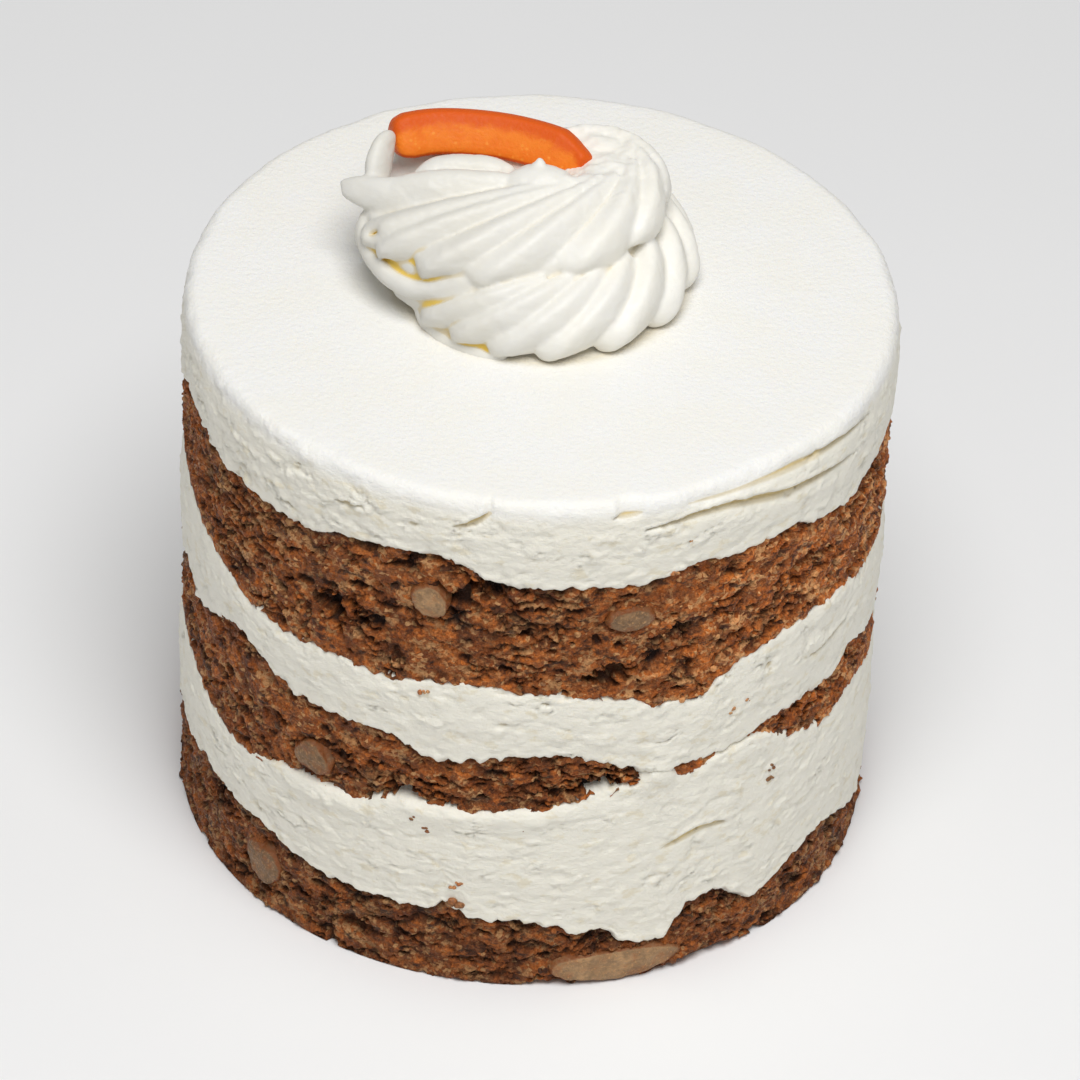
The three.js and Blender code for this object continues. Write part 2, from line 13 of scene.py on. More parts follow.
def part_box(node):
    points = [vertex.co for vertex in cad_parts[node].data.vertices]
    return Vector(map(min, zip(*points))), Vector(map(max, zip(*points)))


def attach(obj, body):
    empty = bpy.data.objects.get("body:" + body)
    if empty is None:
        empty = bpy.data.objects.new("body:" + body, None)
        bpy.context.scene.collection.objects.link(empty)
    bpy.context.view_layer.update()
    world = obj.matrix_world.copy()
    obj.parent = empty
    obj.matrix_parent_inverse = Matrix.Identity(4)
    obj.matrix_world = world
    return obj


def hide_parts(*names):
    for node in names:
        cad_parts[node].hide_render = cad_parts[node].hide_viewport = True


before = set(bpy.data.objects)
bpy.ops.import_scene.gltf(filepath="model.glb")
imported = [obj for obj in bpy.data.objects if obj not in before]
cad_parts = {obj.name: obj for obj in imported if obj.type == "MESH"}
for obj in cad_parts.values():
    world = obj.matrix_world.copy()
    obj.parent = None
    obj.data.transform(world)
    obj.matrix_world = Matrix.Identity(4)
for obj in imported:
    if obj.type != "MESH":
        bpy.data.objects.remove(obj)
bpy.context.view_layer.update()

bl_info = {
    "name": "Carrot cake",
    "version": (1, 0, 0),
    "blender": (4, 5, 0),
    "location": "3D View > Sidebar > Cake",
    "description": "Dresses the solids of a small carrot cake with crumb, cream and piping",
    "category": "Add Mesh",
}

MM = 0.001
BODY = "root"

# ---------------------------------------------------------------- the cake's sizes, in millimetres
RADIUS = 40.0
FACETS = 100  # facets round each CAD wall
GAP = 0.3  # between two CAD layers
TUCK = 1.2  # each wall runs on this far behind its neighbour
TUCK_SLOPE = 1.15  # and draws in by this much for each millimetre
SPONGE_RADIUS = 39.72
CREAM_RADIUS = 39.95
RIM_ROUND = 1.6
FOOT_RADIUS = 39.1
POLE_DIP = 0.3  # the hidden faces of a layer draw in by this much towards the axis

HIDDEN_RINGS = (0.55, 0.2)  # rings on a sponge's hidden faces, as shares of its wall's radius

# The wall of a sponge lies back under the cream above it, swells at its foot and is torn where a
# noise of standard depth one is high; the band under the cream, the torn patches and the holes are
# marked for painted shade. A nut's seat is a little smaller than the nut.
CRUMB_UNDER = {"depth": 0.65, "start": 0.4, "band": 0.55}
CRUMB_FOOT = {"swell": 0.22, "band": 0.9}
CRUMB_TORN = {"depth": 0.8, "width": 4.2, "flat": 1.9, "from": 1.45, "to": 1.95}
NUT_SEAT = {"share": 0.97, "depth": 1.3, "wall": 0.4}

# The wall of a cream layer bulges, swells at its foot and draws in at its head.
CREAM_BULGE = 0.3
CREAM_FOOT = {"swell": 0.12, "band": 0.8}
CREAM_HEAD = {"depth": 0.35, "band": 0.8}
SLIT_LIP = 0.2

# What starts each piece's random draws.
SEEDS = {
    "sponge_bottom": 3, "sponge_middle": 17, "sponge_top": 29, "cream_lower": 41, "cream_upper": 53,
    "cream_top": 61, "cream_swirl": 71, "sponge_bottom_grains": 5, "sponge_middle_grains": 6,
    "sponge_top_grains": 7, "crumbs_on_cream": 8, "first_nut": 100,
}

# Holes torn in the crumb: angle, height, half width, half height, depth.
CRUMB_HOLES = {
    "sponge_bottom": [(-150, 5.5, 2.6, 1.6, 1.6), (-58, 9.4, 2.6, 0.7, 1.3), (-27, 4.2, 2.4, 0.8, 1.2)],
    "sponge_middle": [(-18.5, 25.2, 2.2, 1.4, 1.8), (13, 28.6, 3.0, 1.5, 1.8), (100, 29, 2.4, 1.5, 1.6)],
    "sponge_top": [
        (-32, 48.2, 2.4, 1.7, 2.2), (-6, 57, 2.0, 1.4, 1.8), (-12, 54.6, 2.6, 1.3, 1.6),
        (14, 44.6, 2.2, 1.4, 1.4), (48, 51, 2.8, 1.5, 0.7), (118, 50, 2.6, 1.7, 1.8),
        (-128, 52, 2.4, 1.8, 1.8), (168, 47, 2.2, 1.6, 1.8),
    ],
}

# Nuts cut at the wall: node, host, angle, height, half width, half height, half depth, paleness.
NUTS = [
    ("nut_front_foot", "sponge_bottom", 17.3, 2.4, 7.0, 2.05, 5.0, 0.9),
    ("nut_left_foot", "sponge_bottom", -46, 6.2, 2.9, 2.5, 3.0, 0.25),
    ("nut_middle", "sponge_middle", -35, 26, 2.4, 1.9, 2.6, 0.3),
    ("nut_top_left", "sponge_top", -15.6, 53.7, 2.0, 2.0, 2.4, 0.85),
    ("nut_top_right", "sponge_top", 16.8, 52.2, 2.5, 1.4, 2.4, 0.35),
    ("nut_back", "sponge_top", 152, 51, 3.0, 2.1, 2.8, 0.6),
]
NUT_CUT = 0.5  # the cut lies this share of the half depth off the nut's middle
NUT_PROUD = 0.15  # the cut face stands this far outside RADIUS

# Slits between the flaps of spread cream: half width, depth, then points of angle and height.
CREAM_SLITS = {
    "cream_top": [
        (0.55, 0.6, [(24, 66.8), (36, 67), (50, 66.4), (66, 65.5)]),
        (0.6, 0.65, [(18, 64.5), (31, 65.3), (44, 63.8), (61, 62.5)]),
        (0.4, 0.6, [(13, 66.5), (18, 67)]),
        (0.4, 0.5, [(-12, 64.5), (-9, 65.5), (-6, 67)]),
        (0.3, 0.5, [(-32, 63.5), (-27, 64)]),
        (0.5, 0.7, [(96, 63.4), (108, 64.6), (122, 63.6)]),
        (0.5, 0.7, [(-118, 64.8), (-104, 63.4), (-92, 64.2)]),
        (0.45, 0.7, [(168, 62.6), (180, 63.8)]),
    ],
    "cream_upper": [(0.35, 0.4, [(52, 37.4), (64, 38.4)])],
    "cream_lower": [
        (0.5, 0.25, [(24, 18.6), (31, 20.2), (36, 19.6)]),
        (0.35, 0.5, [(-150, 16), (-138, 17.4)]),
    ],
}

# Cream smeared over the sponge beside it: angle, height, half width, half height, thickness.
CREAM_SMEARS = {
    "cream_lower": [
        (-33, 21.6, 9, 1.7, 0.5), (-12, 24.0, 7, 1.5, 0.5), (2, 25.0, 6, 1.3, 0.45),
        (23, 29.4, 1.9, 2.2, 0.7), (39, 29.2, 5, 1.8, 0.4), (-160, 26, 7, 1.6, 0.4),
    ],
    "cream_upper": [(23, 30.2, 1.8, 2.2, 0.7), (57, 43, 6, 1.2, 0.3), (140, 43.5, 6, 1.4, 0.3)],
    "cream_top": [(-80, 59, 5, 1.4, 0.3)],
}

# The side where the cream top is torn: its middle angle, its width and how much rougher it is.
TORN_SIDE = {"angle": -48, "width": 34, "gain": 0.9}

# Crumbs that lie on the cream in clusters: angle, height, half spread, count, size, and how dark:
# 0 tan, 0.4 orange, 1 brown.
CREAM_CRUMBS = [
    (-16, 22, 1.4, 3, 1.0, 0.85), (-10, 23, 1.0, 2, 0.9, 0.85), (1, 23.5, 0.2, 1, 1.0, 0.9),
    (6, 25.5, 0.3, 1, 0.9, 0.8), (-9, 14, 0.7, 2, 0.8, 0.25), (-9, 11.5, 0.2, 1, 1.5, 0.7),
    (44, 23.5, 0.9, 3, 0.7, 0.75), (-16, 41, 0.2, 1, 0.9, 0.1), (36, 37, 2.2, 2, 0.8, 0.15),
    (22, 40, 0.2, 1, 1.2, 0.7), (23, 58, 0.2, 1, 0.8, 0.2), (26, 62, 0.2, 1, 0.6, 0.1),
    (5, 41, 4.5, 2, 0.6, 0.75), (110, 38.5, 0.5, 1, 0.8, 0.4), (-120, 16.5, 0.5, 1, 0.9, 0.4),
    (175, 40, 0.5, 1, 0.8, 0.8),
]
CRUMB_REACH = 40.15  # radius at which they lie

# Tones that change over the cake: from one place to another in millimetres, and the tone, gain or
# share at each. The crumb gets lighter upwards. Painted light makes it lighter towards +X, more so
# higher up, and the piping lighter towards +X; painted shade makes the cream walls darker and warmer.
CRUMB_TONE_UP = (8, 22, 0.84, 1.1)
CRUMB_PAINTED_LIGHT_UP = (5, 45, 0.1, 0.5)
CRUMB_PAINTED_LIGHT_ACROSS = (5, 30, 0.0, 1.0)
PIPED_PAINTED_LIGHT_ACROSS = (-15, 8, 0.95, 1.12)
PIPED_SHARE_UP = (68.2, 69, 0.0, 1.0)
WALL_SHARE_UP = (65.5, 67.5, 1.0, 0.0)

# ---------------------------------------------------------------- the swirl
# Directions here are mathematical: from +X towards +Y, seen from a tier's eye. A tier's core is rows
# from its foot to its top, each share of the tier's outline, height, and depth under the base surface.
# "middle" and "halves" are the egg that says which way is outwards, "fade" is the width along a ridge.
# Every ridge is a bow. It starts on the outline, at the share "out", and winds on by "lead" to a ring
# of the radius "inner" round the eye, "bow" of its length off the straight line, and it climbs to
# "crown" as "dome" and "steep" say. Each "swing" is what such a value loses in the direction "far".
UPPER = {
    "centre": (-4.4, 4.2), "radius_x": 17.2, "radius_front": 14.2, "radius_back": 13.4,
    "eye": (4.8, 8.0), "eye_round": 12.0, "middle": (-4.4, 4.2, 77.0), "halves": (17.2, 14.0, 5.4),
    "rows": [
        (0.7, 73.0, 0.0), (0.84, 73.2, 0.5), (0.93, 74.0, 1.0), (0.995, 75.4, 1.3), (1.01, 77.0, 1.5),
        (0.975, 78.5, 1.5), (0.9, 79.8, 1.45), (0.79, 80.9, 1.35), (0.66, 81.6, 1.15), (0.53, 82.1, 0.9),
        (0.4, 82.3, 0.6), (0.22, 82.1, 0.3),
    ],
    "out": 1.06, "out_swing": -0.035, "inner": 5.0, "lead": 90.0, "lead_swing": 35.0,
    "bow": 0.28, "bow_swing": 0.18,
    "far": 195.0, "crown": 82.6, "dome": 2.5, "steep": 0.6,
    "fade": [(0.0, 1.0), (0.3, 1.0), (0.6, 0.72), (0.8, 0.52), (1.0, 0.35)],
}
LOWER = {
    "eye": (-1.0, 3.3), "radius": 17.4, "radius_left": 16.6, "left": 195.0,
    "middle": (-1.0, 3.3, 70.5), "halves": (17.4, 17.4, 7.0),
    "rows": [
        (0.9, 68.0, 0.8), (0.99, 69.3, 1.6), (1.01, 70.6, 1.9), (0.98, 72.2, 1.9), (0.91, 73.8, 1.8),
        (0.82, 75.2, 1.5), (0.7, 76.4, 1.0),
    ],
    "out": 1.1, "out_swing": 0.0, "inner": 12.3, "lead": 50.0, "lead_swing": 0.0,
    "bow": 0.28, "bow_swing": 0.0,
    "far": 195.0, "crown": 77.0, "dome": 2.0, "steep": 0.75,
    "fade": [(0.0, 1.0), (0.3, 1.0), (1.0, 0.6)],
}

# The ridges: direction of the foot, half width, height of the foot.
FLAP = (188, 3.5, 81.2)  # the loose end of the upper tier
FLAP_OUT = 1.07  # the share of the outline at which it starts
FLAP_TIP = 0.6  # the share of its length that its tip takes
UPPER_RIDGES = [
    (205, 2.6, 75.5), (211.5, 2.1, 75.5), (224.5, 2.5, 75), (239, 2.7, 74.5), (266, 2.9, 75.6),
    (293, 2.5, 76.5), (324, 2.3, 78), (350, 2.3, 77),
]
LOWER_RIDGES = [
    (226, 1.9, 69), (241, 2.2, 69), (258, 2.5, 68.5), (277, 2.5, 68.5), (301, 2.9, 68.5),
    (327, 2.9, 68.5), (352, 2.5, 69),
]
UPPER_BACK = (18, 164, 7)  # first and last direction of the ridges at the back, and their number
LOWER_BACK = (14, 206, 9)
BACK_WIDTH = 2.4
UPPER_BACK_FOOT = 76.6
LOWER_BACK_FOOT = 69.2
RIDGE_TIP = 0.2  # share of a ridge's length that its tip takes
TIP_POINTED = 0.62  # 0.5 is a round tip, and more is a pointed one
RIDGE_FLAT = 0.95  # height of a ridge against its width
RIDGE_PEAK = 0.4  # how much narrower a ridge is at its crest than at its foot
RIDGE_SINK = 0.45  # how far a crest has sunk where it ends
CREST_POINTS = 12
CREST_CROWD = 1.6  # above one, a crest's points lie closer at its foot
TUBE_RINGS = 56
TUBE_CROWD = 1.7  # and a tube's rings at its start
TUBE_POINTS = 28
ROW_STEPS = 7  # rings between two rows of a tier
HALVINGS = 26  # steps in the search for the upper outline
HOLLOW_ROUNDS = 26  # rounds of averaging that a hollow's depth is measured against

# Loose cream: a strand and the cream behind it, the film at the foot, the fin beside the wedge, two
# mounds and a peak before it. Half width, thickness against width, tip share, middle line.
LOOSE_CREAM = [
    (1.2, 1.0, 0.06, [(-16.5, 8, 75), (-20, 1, 75), (-18, -4.5, 73.5), (-14, -7.5, 73), (-8, -8.5, 75)]),
    (2.0, 1.0, 0.3, [(-15.5, 2.5, 75.5), (-16, -3, 75), (-11.5, -6.5, 74.5), (-7.5, -8, 75)]),
    (1.2, 1.0, 0.25, [(-14, -4, 72.5), (-12.5, -7.5, 69), (-9, -11, 68), (-3.5, -13.5, 68)]),
    (1.2, 1.6, 0.55, [(-19, 3, 77.8), (-19, 5, 79.6), (-18.6, 7, 81.3), (-17.6, 9, 82.6)]),
    (1.4, 1.0, 0.4, [(-15, 4, 80), (-12, 5.2, 80.6), (-8, 5.6, 80.6), (-3.5, 5, 80.6)]),
    (2.0, 0.7, 0.5, [(-5, 2, 81), (-2, 2.5, 81.5), (0.5, 2.5, 81.5), (3.5, 2, 81)]),
    (1.0, 0.8, 0.9, [(-1, 4, 83.5), (-1, 3, 82.5), (-0.5, 2, 81.5)]),
]

# The wedge presses the upper tier down: how far before its spine, how wide, and the lift.
PRESSED = {"ahead": 1.8, "spread": 3.2, "lift": -2.9}

# Where the hollows between the ridges are painted with yellow shade: middle direction and half angle,
# seen from the lower tier's eye, then middle height and half height.
PAINTED_SHADE_ZONES = [(215, 22, 75.5, 2.4), (231, 12, 71.5, 2.4), (262, 34, 69.0, 1.6)]
# The fold is dented in and painted inside with yellow shade.
FOLD = {"ridge": 0, "radius": 0.9, "depth": 1.2}  # the open end of the first upper ridge
EYE_TORN = {"radius": 6.5, "above": 80, "gain": 3.5}  # the rougher cream round the upper tier's eye

# The painted yellow shadow on the flat face along the swirl's foot: strength, place inwards of it, width.
FOOT_PAINTED_SHADOW = {"share": 0.42, "inside": 0.6, "width": 1.7}

# The wedge: the middle line of its cut face, then its section as forward of the face, up the face.
WEDGE_SPINE = [
    (-17.1, 8.3, 81.9), (-13.2, 9.8, 82.0), (-9.2, 10.1, 82.0), (-4.8, 9.5, 82.0), (-0.6, 8.1, 81.9),
    (1.6, 6.7, 81.6), (2.5, 5.6, 81.2),
]
WEDGE_LEAN = 38.0
WEDGE_HALF_FACE = 2.25
WEDGE_SECTION = [
    (0, -1), (-1.7, -0.98), (-3.5, -0.6), (-4.4, 0.2), (-3.8, 0.9), (-2.3, 1.25), (-0.8, 1.2), (0, 1),
    (0.22, 0),
]
WEDGE_FACE = 7  # the section's first point on the cut face
WEDGE_ENDS = ((0.8, 2.4), (0.6, 2.6))  # the section's size at each end, and its growth inwards
WEDGE_BEVEL = 0.9  # length of the rounding at each end
WEDGE_AXIS = 1.9  # the section is scaled about a line this far behind the face

# ---------------------------------------------------------------- camera and stage, in metres
CAMERA_AIM = Vector((1.054, 0.0, 32.97)) * MM
CAMERA_DISTANCE = 0.7547
CAMERA_ELEVATION = math.radians(37.75)
CAMERA_ROLL = math.radians(2.825)
CAMERA_LENS = 218.8
CAMERA_SENSOR = 36.0
FLOOR_HALF = 1.5
LAMP_PLACE = (0.05, -0.35, 0.85)
LAMP_AIM = (0, 0, 0.05)
LAMP_WIDTH = 0.55
LAMP_POWER = 6.6  # in watts
WORLD_STRENGTH = 0.28


def linear(red, green, blue):
    """A colour from its 0 to 255 screen values."""
    def one(value):
        share = value / 255
        return share / 12.92 if share <= 0.04045 else ((share + 0.055) / 1.055) ** 2.4
    return (one(red), one(green), one(blue))


# ---------------------------------------------------------------- what a user would change
def length(name, description, default):
    """A length property, given in millimetres."""
    return FloatProperty(name=name, description=description, default=default * MM, min=0, precision=5,
                         subtype="DISTANCE", unit="LENGTH")


def colour(name, description, *screen):
    """A colour property, given in screen values."""
    return FloatVectorProperty(name=name, description=description, default=linear(*screen), size=3,
                               min=0, max=1, subtype="COLOR")


class CakeSizes(bpy.types.PropertyGroup):
    """The sizes of the crumb, the cream and the piping."""

    sponge_step: length("Sponge step", "Spacing of the points on a sponge wall", 0.25)
    cream_step: length("Cream step", "Spacing of the points on a cream wall", 0.275)
    clump: length("Clump", "Width of a clump of crumb", 3.2)
    grain: length("Grain", "Width of a grain of crumb", 0.5)
    crack_depth: length("Crack depth", "Depth of the cracks between clumps", 0.7)
    cream_ripple: length("Cream ripple", "Half depth of the ripples of spread cream", 0.3)
    piping_step: length("Piping step", "Size of the piping's mesh cells", 0.24)
    # A crease's tint is painted shade.
    crease_depth: length("Crease depth", "Depth at which a crease of the piping is fully tinted", 0.5)
    grains_per_cm2: IntProperty(
        name="Loose grains", description="Loose grains on each square centimetre of sponge",
        default=34, min=0, max=120)


class CakeColours(bpy.types.PropertyGroup):
    """The colours of the cake."""

    crumb_brown: colour("Crumb brown", "Main colour of the sponge", 128, 73, 32)
    crumb_orange: colour("Crumb orange", "Sponge with shredded carrot in it", 160, 84, 26)
    crumb_grey: colour("Crumb grey", "Dry, greyer sponge", 136, 96, 58)
    # crumb_tan is also painted as glints on the crumb.
    crumb_tan: colour("Crumb tan", "The lightest grains", 204, 154, 102)
    # crumb_dark is painted shade in holes and cracks, and the colour of the darkest patches of crumb.
    crumb_dark: colour("Crumb dark", "Holes and cracks in the sponge", 34, 12, 3)
    cream: colour("Cream", "Spread cream", 244, 243, 239)
    cream_smudge: colour("Cream smudge", "Warm smudges in the cream", 226, 214, 182)
    # Painted shade: the crease and hollow colours stand for the warm shade in creases and hollows.
    cream_crease: colour("Cream crease", "Creases in the cream", 216, 202, 168)
    cream_deep: colour("Cream hollow", "Deep hollows in the spread cream", 222, 194, 120)
    piped_deep: colour("Piped hollow", "Deep hollows in the swirl", 226, 192, 84)
    # Painted shade: the swirl's cream is painted darker and warmer than the spread cream.
    piped: colour("Piped cream", "Cream of the swirl", 226, 224, 217)
    skin: colour("Wedge skin", "Outer skin of the wedge", 220, 92, 20)
    flesh: colour("Wedge flesh", "Cut face of the wedge", 240, 130, 38)
    nut: colour("Nut", "Palest nut", 176, 140, 100)
    nut_dull: colour("Dull nut", "Darkest nut", 110, 82, 56)
    floor: colour("Floor", "The pale floor", 243, 243, 243)


# ---------------------------------------------------------------- node trees
class Graph:
    """A node tree being built: a socket is linked, and anything else is set as its value."""

    def __init__(self, tree):
        self.tree = tree
        tree.nodes.clear()

    def feed(self, socket, value):
        if isinstance(value, bpy.types.NodeSocket):
            self.tree.links.new(value, socket)
        else:
            socket.default_value = value

    def node(self, kind, inputs=(), **settings):
        node = self.tree.nodes.new(kind)
        for name, value in settings.items():
            setattr(node, name, value)
        for key, value in dict(inputs).items():
            self.feed(node.inputs[key], value)
        return node

    def math(self, operation, *values):
        node = self.node("ShaderNodeMath", operation=operation)
        for socket, value in zip(node.inputs, values):
            self.feed(socket, value)
        return node.outputs[0]

    def plus(self, first, second):
        return self.math("ADD", first, second)

    def minus(self, first, second):
        return self.math("SUBTRACT", first, second)

    def times(self, first, second):
        return self.math("MULTIPLY", first, second)

    def vector(self, operation, first, second):
        node = self.node("ShaderNodeVectorMath", {0: first}, operation=operation)
        self.feed(node.inputs["Scale" if operation == "SCALE" else 1], second)
        return node.outputs[0]

    def combine(self, x, y, z):
        return self.node("ShaderNodeCombineXYZ", {0: x, 1: y, 2: z}).outputs[0]

    def ease(self, value, low, high, to_low=0.0, to_high=1.0):
        """Runs smoothly from to_low to to_high as value runs from low to high."""
        inputs = {"Value": value, "From Min": low, "From Max": high, "To Min": to_low, "To Max": to_high}
        return self.node("ShaderNodeMapRange", inputs, interpolation_type="SMOOTHSTEP").outputs[0]

    def ease_mm(self, value, low, high, to_low, to_high):
        """The same with low and high in millimetres."""
        return self.ease(value, low * MM, high * MM, to_low, to_high)

    def noise(self, at, size, detail=3.0, roughness=0.5, output=0):
        """Smooth noise with features of a size; its middle is 0.5."""
        inputs = {"Vector": at, "Scale": self.math("DIVIDE", 1.0, size), "Detail": detail,
                  "Roughness": roughness}
        return self.node("ShaderNodeTexNoise", inputs).outputs[output]

    def cells(self, at, size):
        """Cells of a size: the distance to their middles, in cell widths, and a random colour."""
        inputs = {"Vector": at, "Scale": self.math("DIVIDE", 1.0, size)}
        return self.node("ShaderNodeTexVoronoi", inputs, feature="F1").outputs

    def mix(self, factor, first, second, blend="MIX"):
        """One colour over another, each a socket or its red, green and blue."""
        first, second = [c if isinstance(c, bpy.types.NodeSocket) else (*c, 1) for c in (first, second)]
        node = self.node("ShaderNodeMix", {0: factor, 6: first, 7: second}, data_type="RGBA",
                         blend_type=blend)
        return node.outputs[2]

    def toned(self, base, tone, green=None, blue=None):
        """A colour times a tone; powers of it for green and blue make dark tones redder."""
        parts = [tone if power is None else self.math("POWER", tone, power) for power in (green, blue)]
        return self.mix(1.0, base, self.combine(tone, *parts), "MULTIPLY")

    def ramp(self, value, stops):
        """A colour for each share of a value."""
        node = self.node("ShaderNodeValToRGB", {0: value})
        elements = node.color_ramp.elements
        while len(elements) < len(stops):
            elements.new(1.0)
        for element, (share, paint) in zip(elements, stops):
            element.position = share
            element.color = (*paint, 1.0)
        return node.outputs[0]

    def bump(self, height, depth, normal=None):
        """The normal of a height from 0 to 1 that is depth high."""
        inputs = {"Height": height, "Distance": depth, "Strength": 1.0}
        if normal is not None:
            inputs["Normal"] = normal
        return self.node("ShaderNodeBump", inputs).outputs[0]


def geometry_tree(name, floats, counts):
    """A Geometry Nodes tree with named inputs: the tree, its graph and the inputs by name."""
    tree = bpy.data.node_groups.new(name, "GeometryNodeTree")
    tree.interface.new_socket("Geometry", in_out="INPUT", socket_type="NodeSocketGeometry")
    for kind, sockets in (("NodeSocketFloat", floats), ("NodeSocketInt", counts)):
        for socket, default in sockets:
            made_socket = tree.interface.new_socket(socket, in_out="INPUT", socket_type=kind)
            made_socket.default_value = default
    tree.interface.new_socket("Material", in_out="INPUT", socket_type="NodeSocketMaterial")
    tree.interface.new_socket("Geometry", in_out="OUTPUT", socket_type="NodeSocketGeometry")
    graph = Graph(tree)
    return tree, graph, graph.node("NodeGroupInput").outputs


def close_tree(graph, geometry, material):
    """Ends a tree in Realize Instances and Set Material."""
    whole = graph.node("GeometryNodeRealizeInstances", {0: geometry}).outputs[0]
    dressed = graph.node("GeometryNodeSetMaterial", {"Geometry": whole, "Material": material}).outputs[0]
    graph.node("NodeGroupOutput", {0: dressed})


def stored(graph, geometry, name, value, data_type="FLOAT", domain="POINT"):
    """Stores a named attribute on a geometry."""
    inputs = {"Geometry": geometry, "Name": name, "Value": value}
    node = graph.node("GeometryNodeStoreNamedAttribute", inputs, data_type=data_type, domain=domain)
    return node.outputs[0]


def named(graph, name, data_type="FLOAT"):
    """Reads a named attribute in a Geometry Nodes tree."""
    return graph.node("GeometryNodeInputNamedAttribute", {"Name": name}, data_type=data_type).outputs[0]


def run_nodes(piece, tree, values):
    """Runs a tree on a piece and leaves the result as the piece's plain mesh."""
    modifier = piece.modifiers.new(tree.name, "NODES")
    modifier.node_group = tree
    for item in tree.interface.items_tree:
        if item.in_out == "INPUT" and item.name in values:
            modifier[item.identifier] = values[item.name]
    keep_result(piece)


def keep_result(piece):
    """Puts the evaluated mesh in the place of a piece's mesh and drops its modifiers."""
    graph = bpy.context.evaluated_depsgraph_get()
    result = bpy.data.meshes.new_from_object(
        piece.evaluated_get(graph), preserve_all_data_layers=True, depsgraph=graph)
    before = piece.data
    piece.modifiers.clear()
    piece.data = result
    bpy.data.meshes.remove(before)
    result.name = piece.name


# ---------------------------------------------------------------- meshes
def unrolled(angles, heights, radius):
    """Points on the wall from angles in degrees, heights and radii."""
    turn = np.radians(angles)
    x, y, z = np.broadcast_arrays(radius * np.sin(turn), -radius * np.cos(turn), heights)
    return np.stack([x, y, z], axis=-1)


def new_piece(name, points, faces, attributes=()):
    """A smooth-shaded piece from millimetre points, linked to the scene."""
    mesh = bpy.data.meshes.new(name)
    mesh.from_pydata((np.asarray(points) * MM).tolist(), [], faces)
    for key, values in dict(attributes).items():
        mesh.attributes.new(key, "FLOAT", "POINT").data.foreach_set("value", np.asarray(values, np.float32))
    mesh.shade_smooth()
    piece = bpy.data.objects.new(name, mesh)
    bpy.context.scene.collection.objects.link(piece)
    return piece


def loft_faces(rows, columns):
    """Faces of a closed loft: a pole, rows of columns from low to high, and a pole."""
    column = np.arange(columns)
    beside = (column + 1) % columns
    first = 1 + (rows - 1) * columns
    top = 1 + rows * columns
    faces = [(0, 1 + b, 1 + a) for a, b in zip(column.tolist(), beside.tolist())]
    for row in range(rows - 1):
        low = 1 + row * columns
        high = low + columns
        faces += np.stack([low + column, low + beside, high + beside, high + column], 1).tolist()
    faces += [(top, first + a, first + b) for a, b in zip(column.tolist(), beside.tolist())]
    return faces


def with_poles(rings, low, high):
    """The points of a closed loft: its low pole, its rings and its high pole."""
    return np.concatenate([[low], rings.reshape(-1, 3), [high]])


def joined(name, lofts, attributes=()):
    """One piece of several closed lofts, each its points, rows and columns."""
    faces, start = [], 0
    for points, rows, columns in lofts:
        faces += [tuple(start + i for i in face) for face in loft_faces(rows, columns)]
        start += len(points)
    return new_piece(name, np.concatenate([points for points, _, _ in lofts]), faces, attributes)


def loft_piece(name, rings, low, high, attributes=()):
    """A closed piece from rings of points; each attribute has a value for each ring point."""
    rows, columns = rings.shape[:2]
    padded = {
        key: np.concatenate([[0], np.broadcast_to(values, (rows, columns)).ravel(), [0]])
        for key, values in dict(attributes).items()
    }
    return new_piece(name, with_poles(rings, low, high), loft_faces(rows, columns), padded)


def point_values(piece, key):
    """The place or the normal of each of a piece's points, as Blender holds it."""
    flat = np.empty(3 * len(piece.data.vertices), np.float32)
    piece.data.vertices.foreach_get(key, flat)
    return flat.reshape(-1, 3)


def mesh_points(piece):
    """A piece's points in millimetres."""
    return point_values(piece, "co").astype(float) / MM


def move_points(piece, points):
    """Puts a piece's points at new places, in millimetres."""
    piece.data.vertices.foreach_set("co", (points * MM).astype(np.float32).ravel())
    piece.data.update()


def neighbour_mean(piece):
    """A function that averages a value over each point's neighbours."""
    edges = np.empty(2 * len(piece.data.edges), np.int32)
    piece.data.edges.foreach_get("vertices", edges)
    first, second = edges.reshape(-1, 2).T
    count = len(piece.data.vertices)
    ends = np.concatenate([first, second])
    others = np.concatenate([second, first])
    total = np.maximum(np.bincount(ends, minlength=count), 1)

    def mean(values):
        columns = values.reshape(count, -1)
        summed = [np.bincount(ends, weights=columns[others, k], minlength=count) / total
                  for k in range(columns.shape[1])]
        return np.stack(summed, 1).reshape(values.shape)
    return mean


def settle(piece):
    """Keeps a piece from reaching below the underside."""
    points = mesh_points(piece)
    points[:, 2] = np.maximum(points[:, 2], 0)
    move_points(piece, points)


def finish_piece(piece, slot, *nodes):
    """Hangs a piece on the body it rides on and hides the CAD nodes it stands for; slot is not used."""
    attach(piece, BODY)
    if nodes:
        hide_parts(*nodes)


def smooth_path(points, steps):
    """Points along a Catmull-Rom curve through control points, steps to each stretch."""
    control = np.asarray(points, float)
    before = np.vstack([2 * control[0] - control[1], control[:-1]])
    after = np.vstack([control[1:], 2 * control[-1] - control[-2]])
    tangent = (after - before) / 2
    share = np.linspace(0, 1, steps, endpoint=False)[None, :, None]
    a, b = control[:-1, None], control[1:, None]
    ta, tb = tangent[:-1, None], tangent[1:, None]
    curve = ((2 * share**3 - 3 * share**2 + 1) * a + (share**3 - 2 * share**2 + share) * ta
             + (3 * share**2 - 2 * share**3) * b + (share**3 - share**2) * tb)
    return np.vstack([curve.reshape(-1, control.shape[1]), control[-1:]])


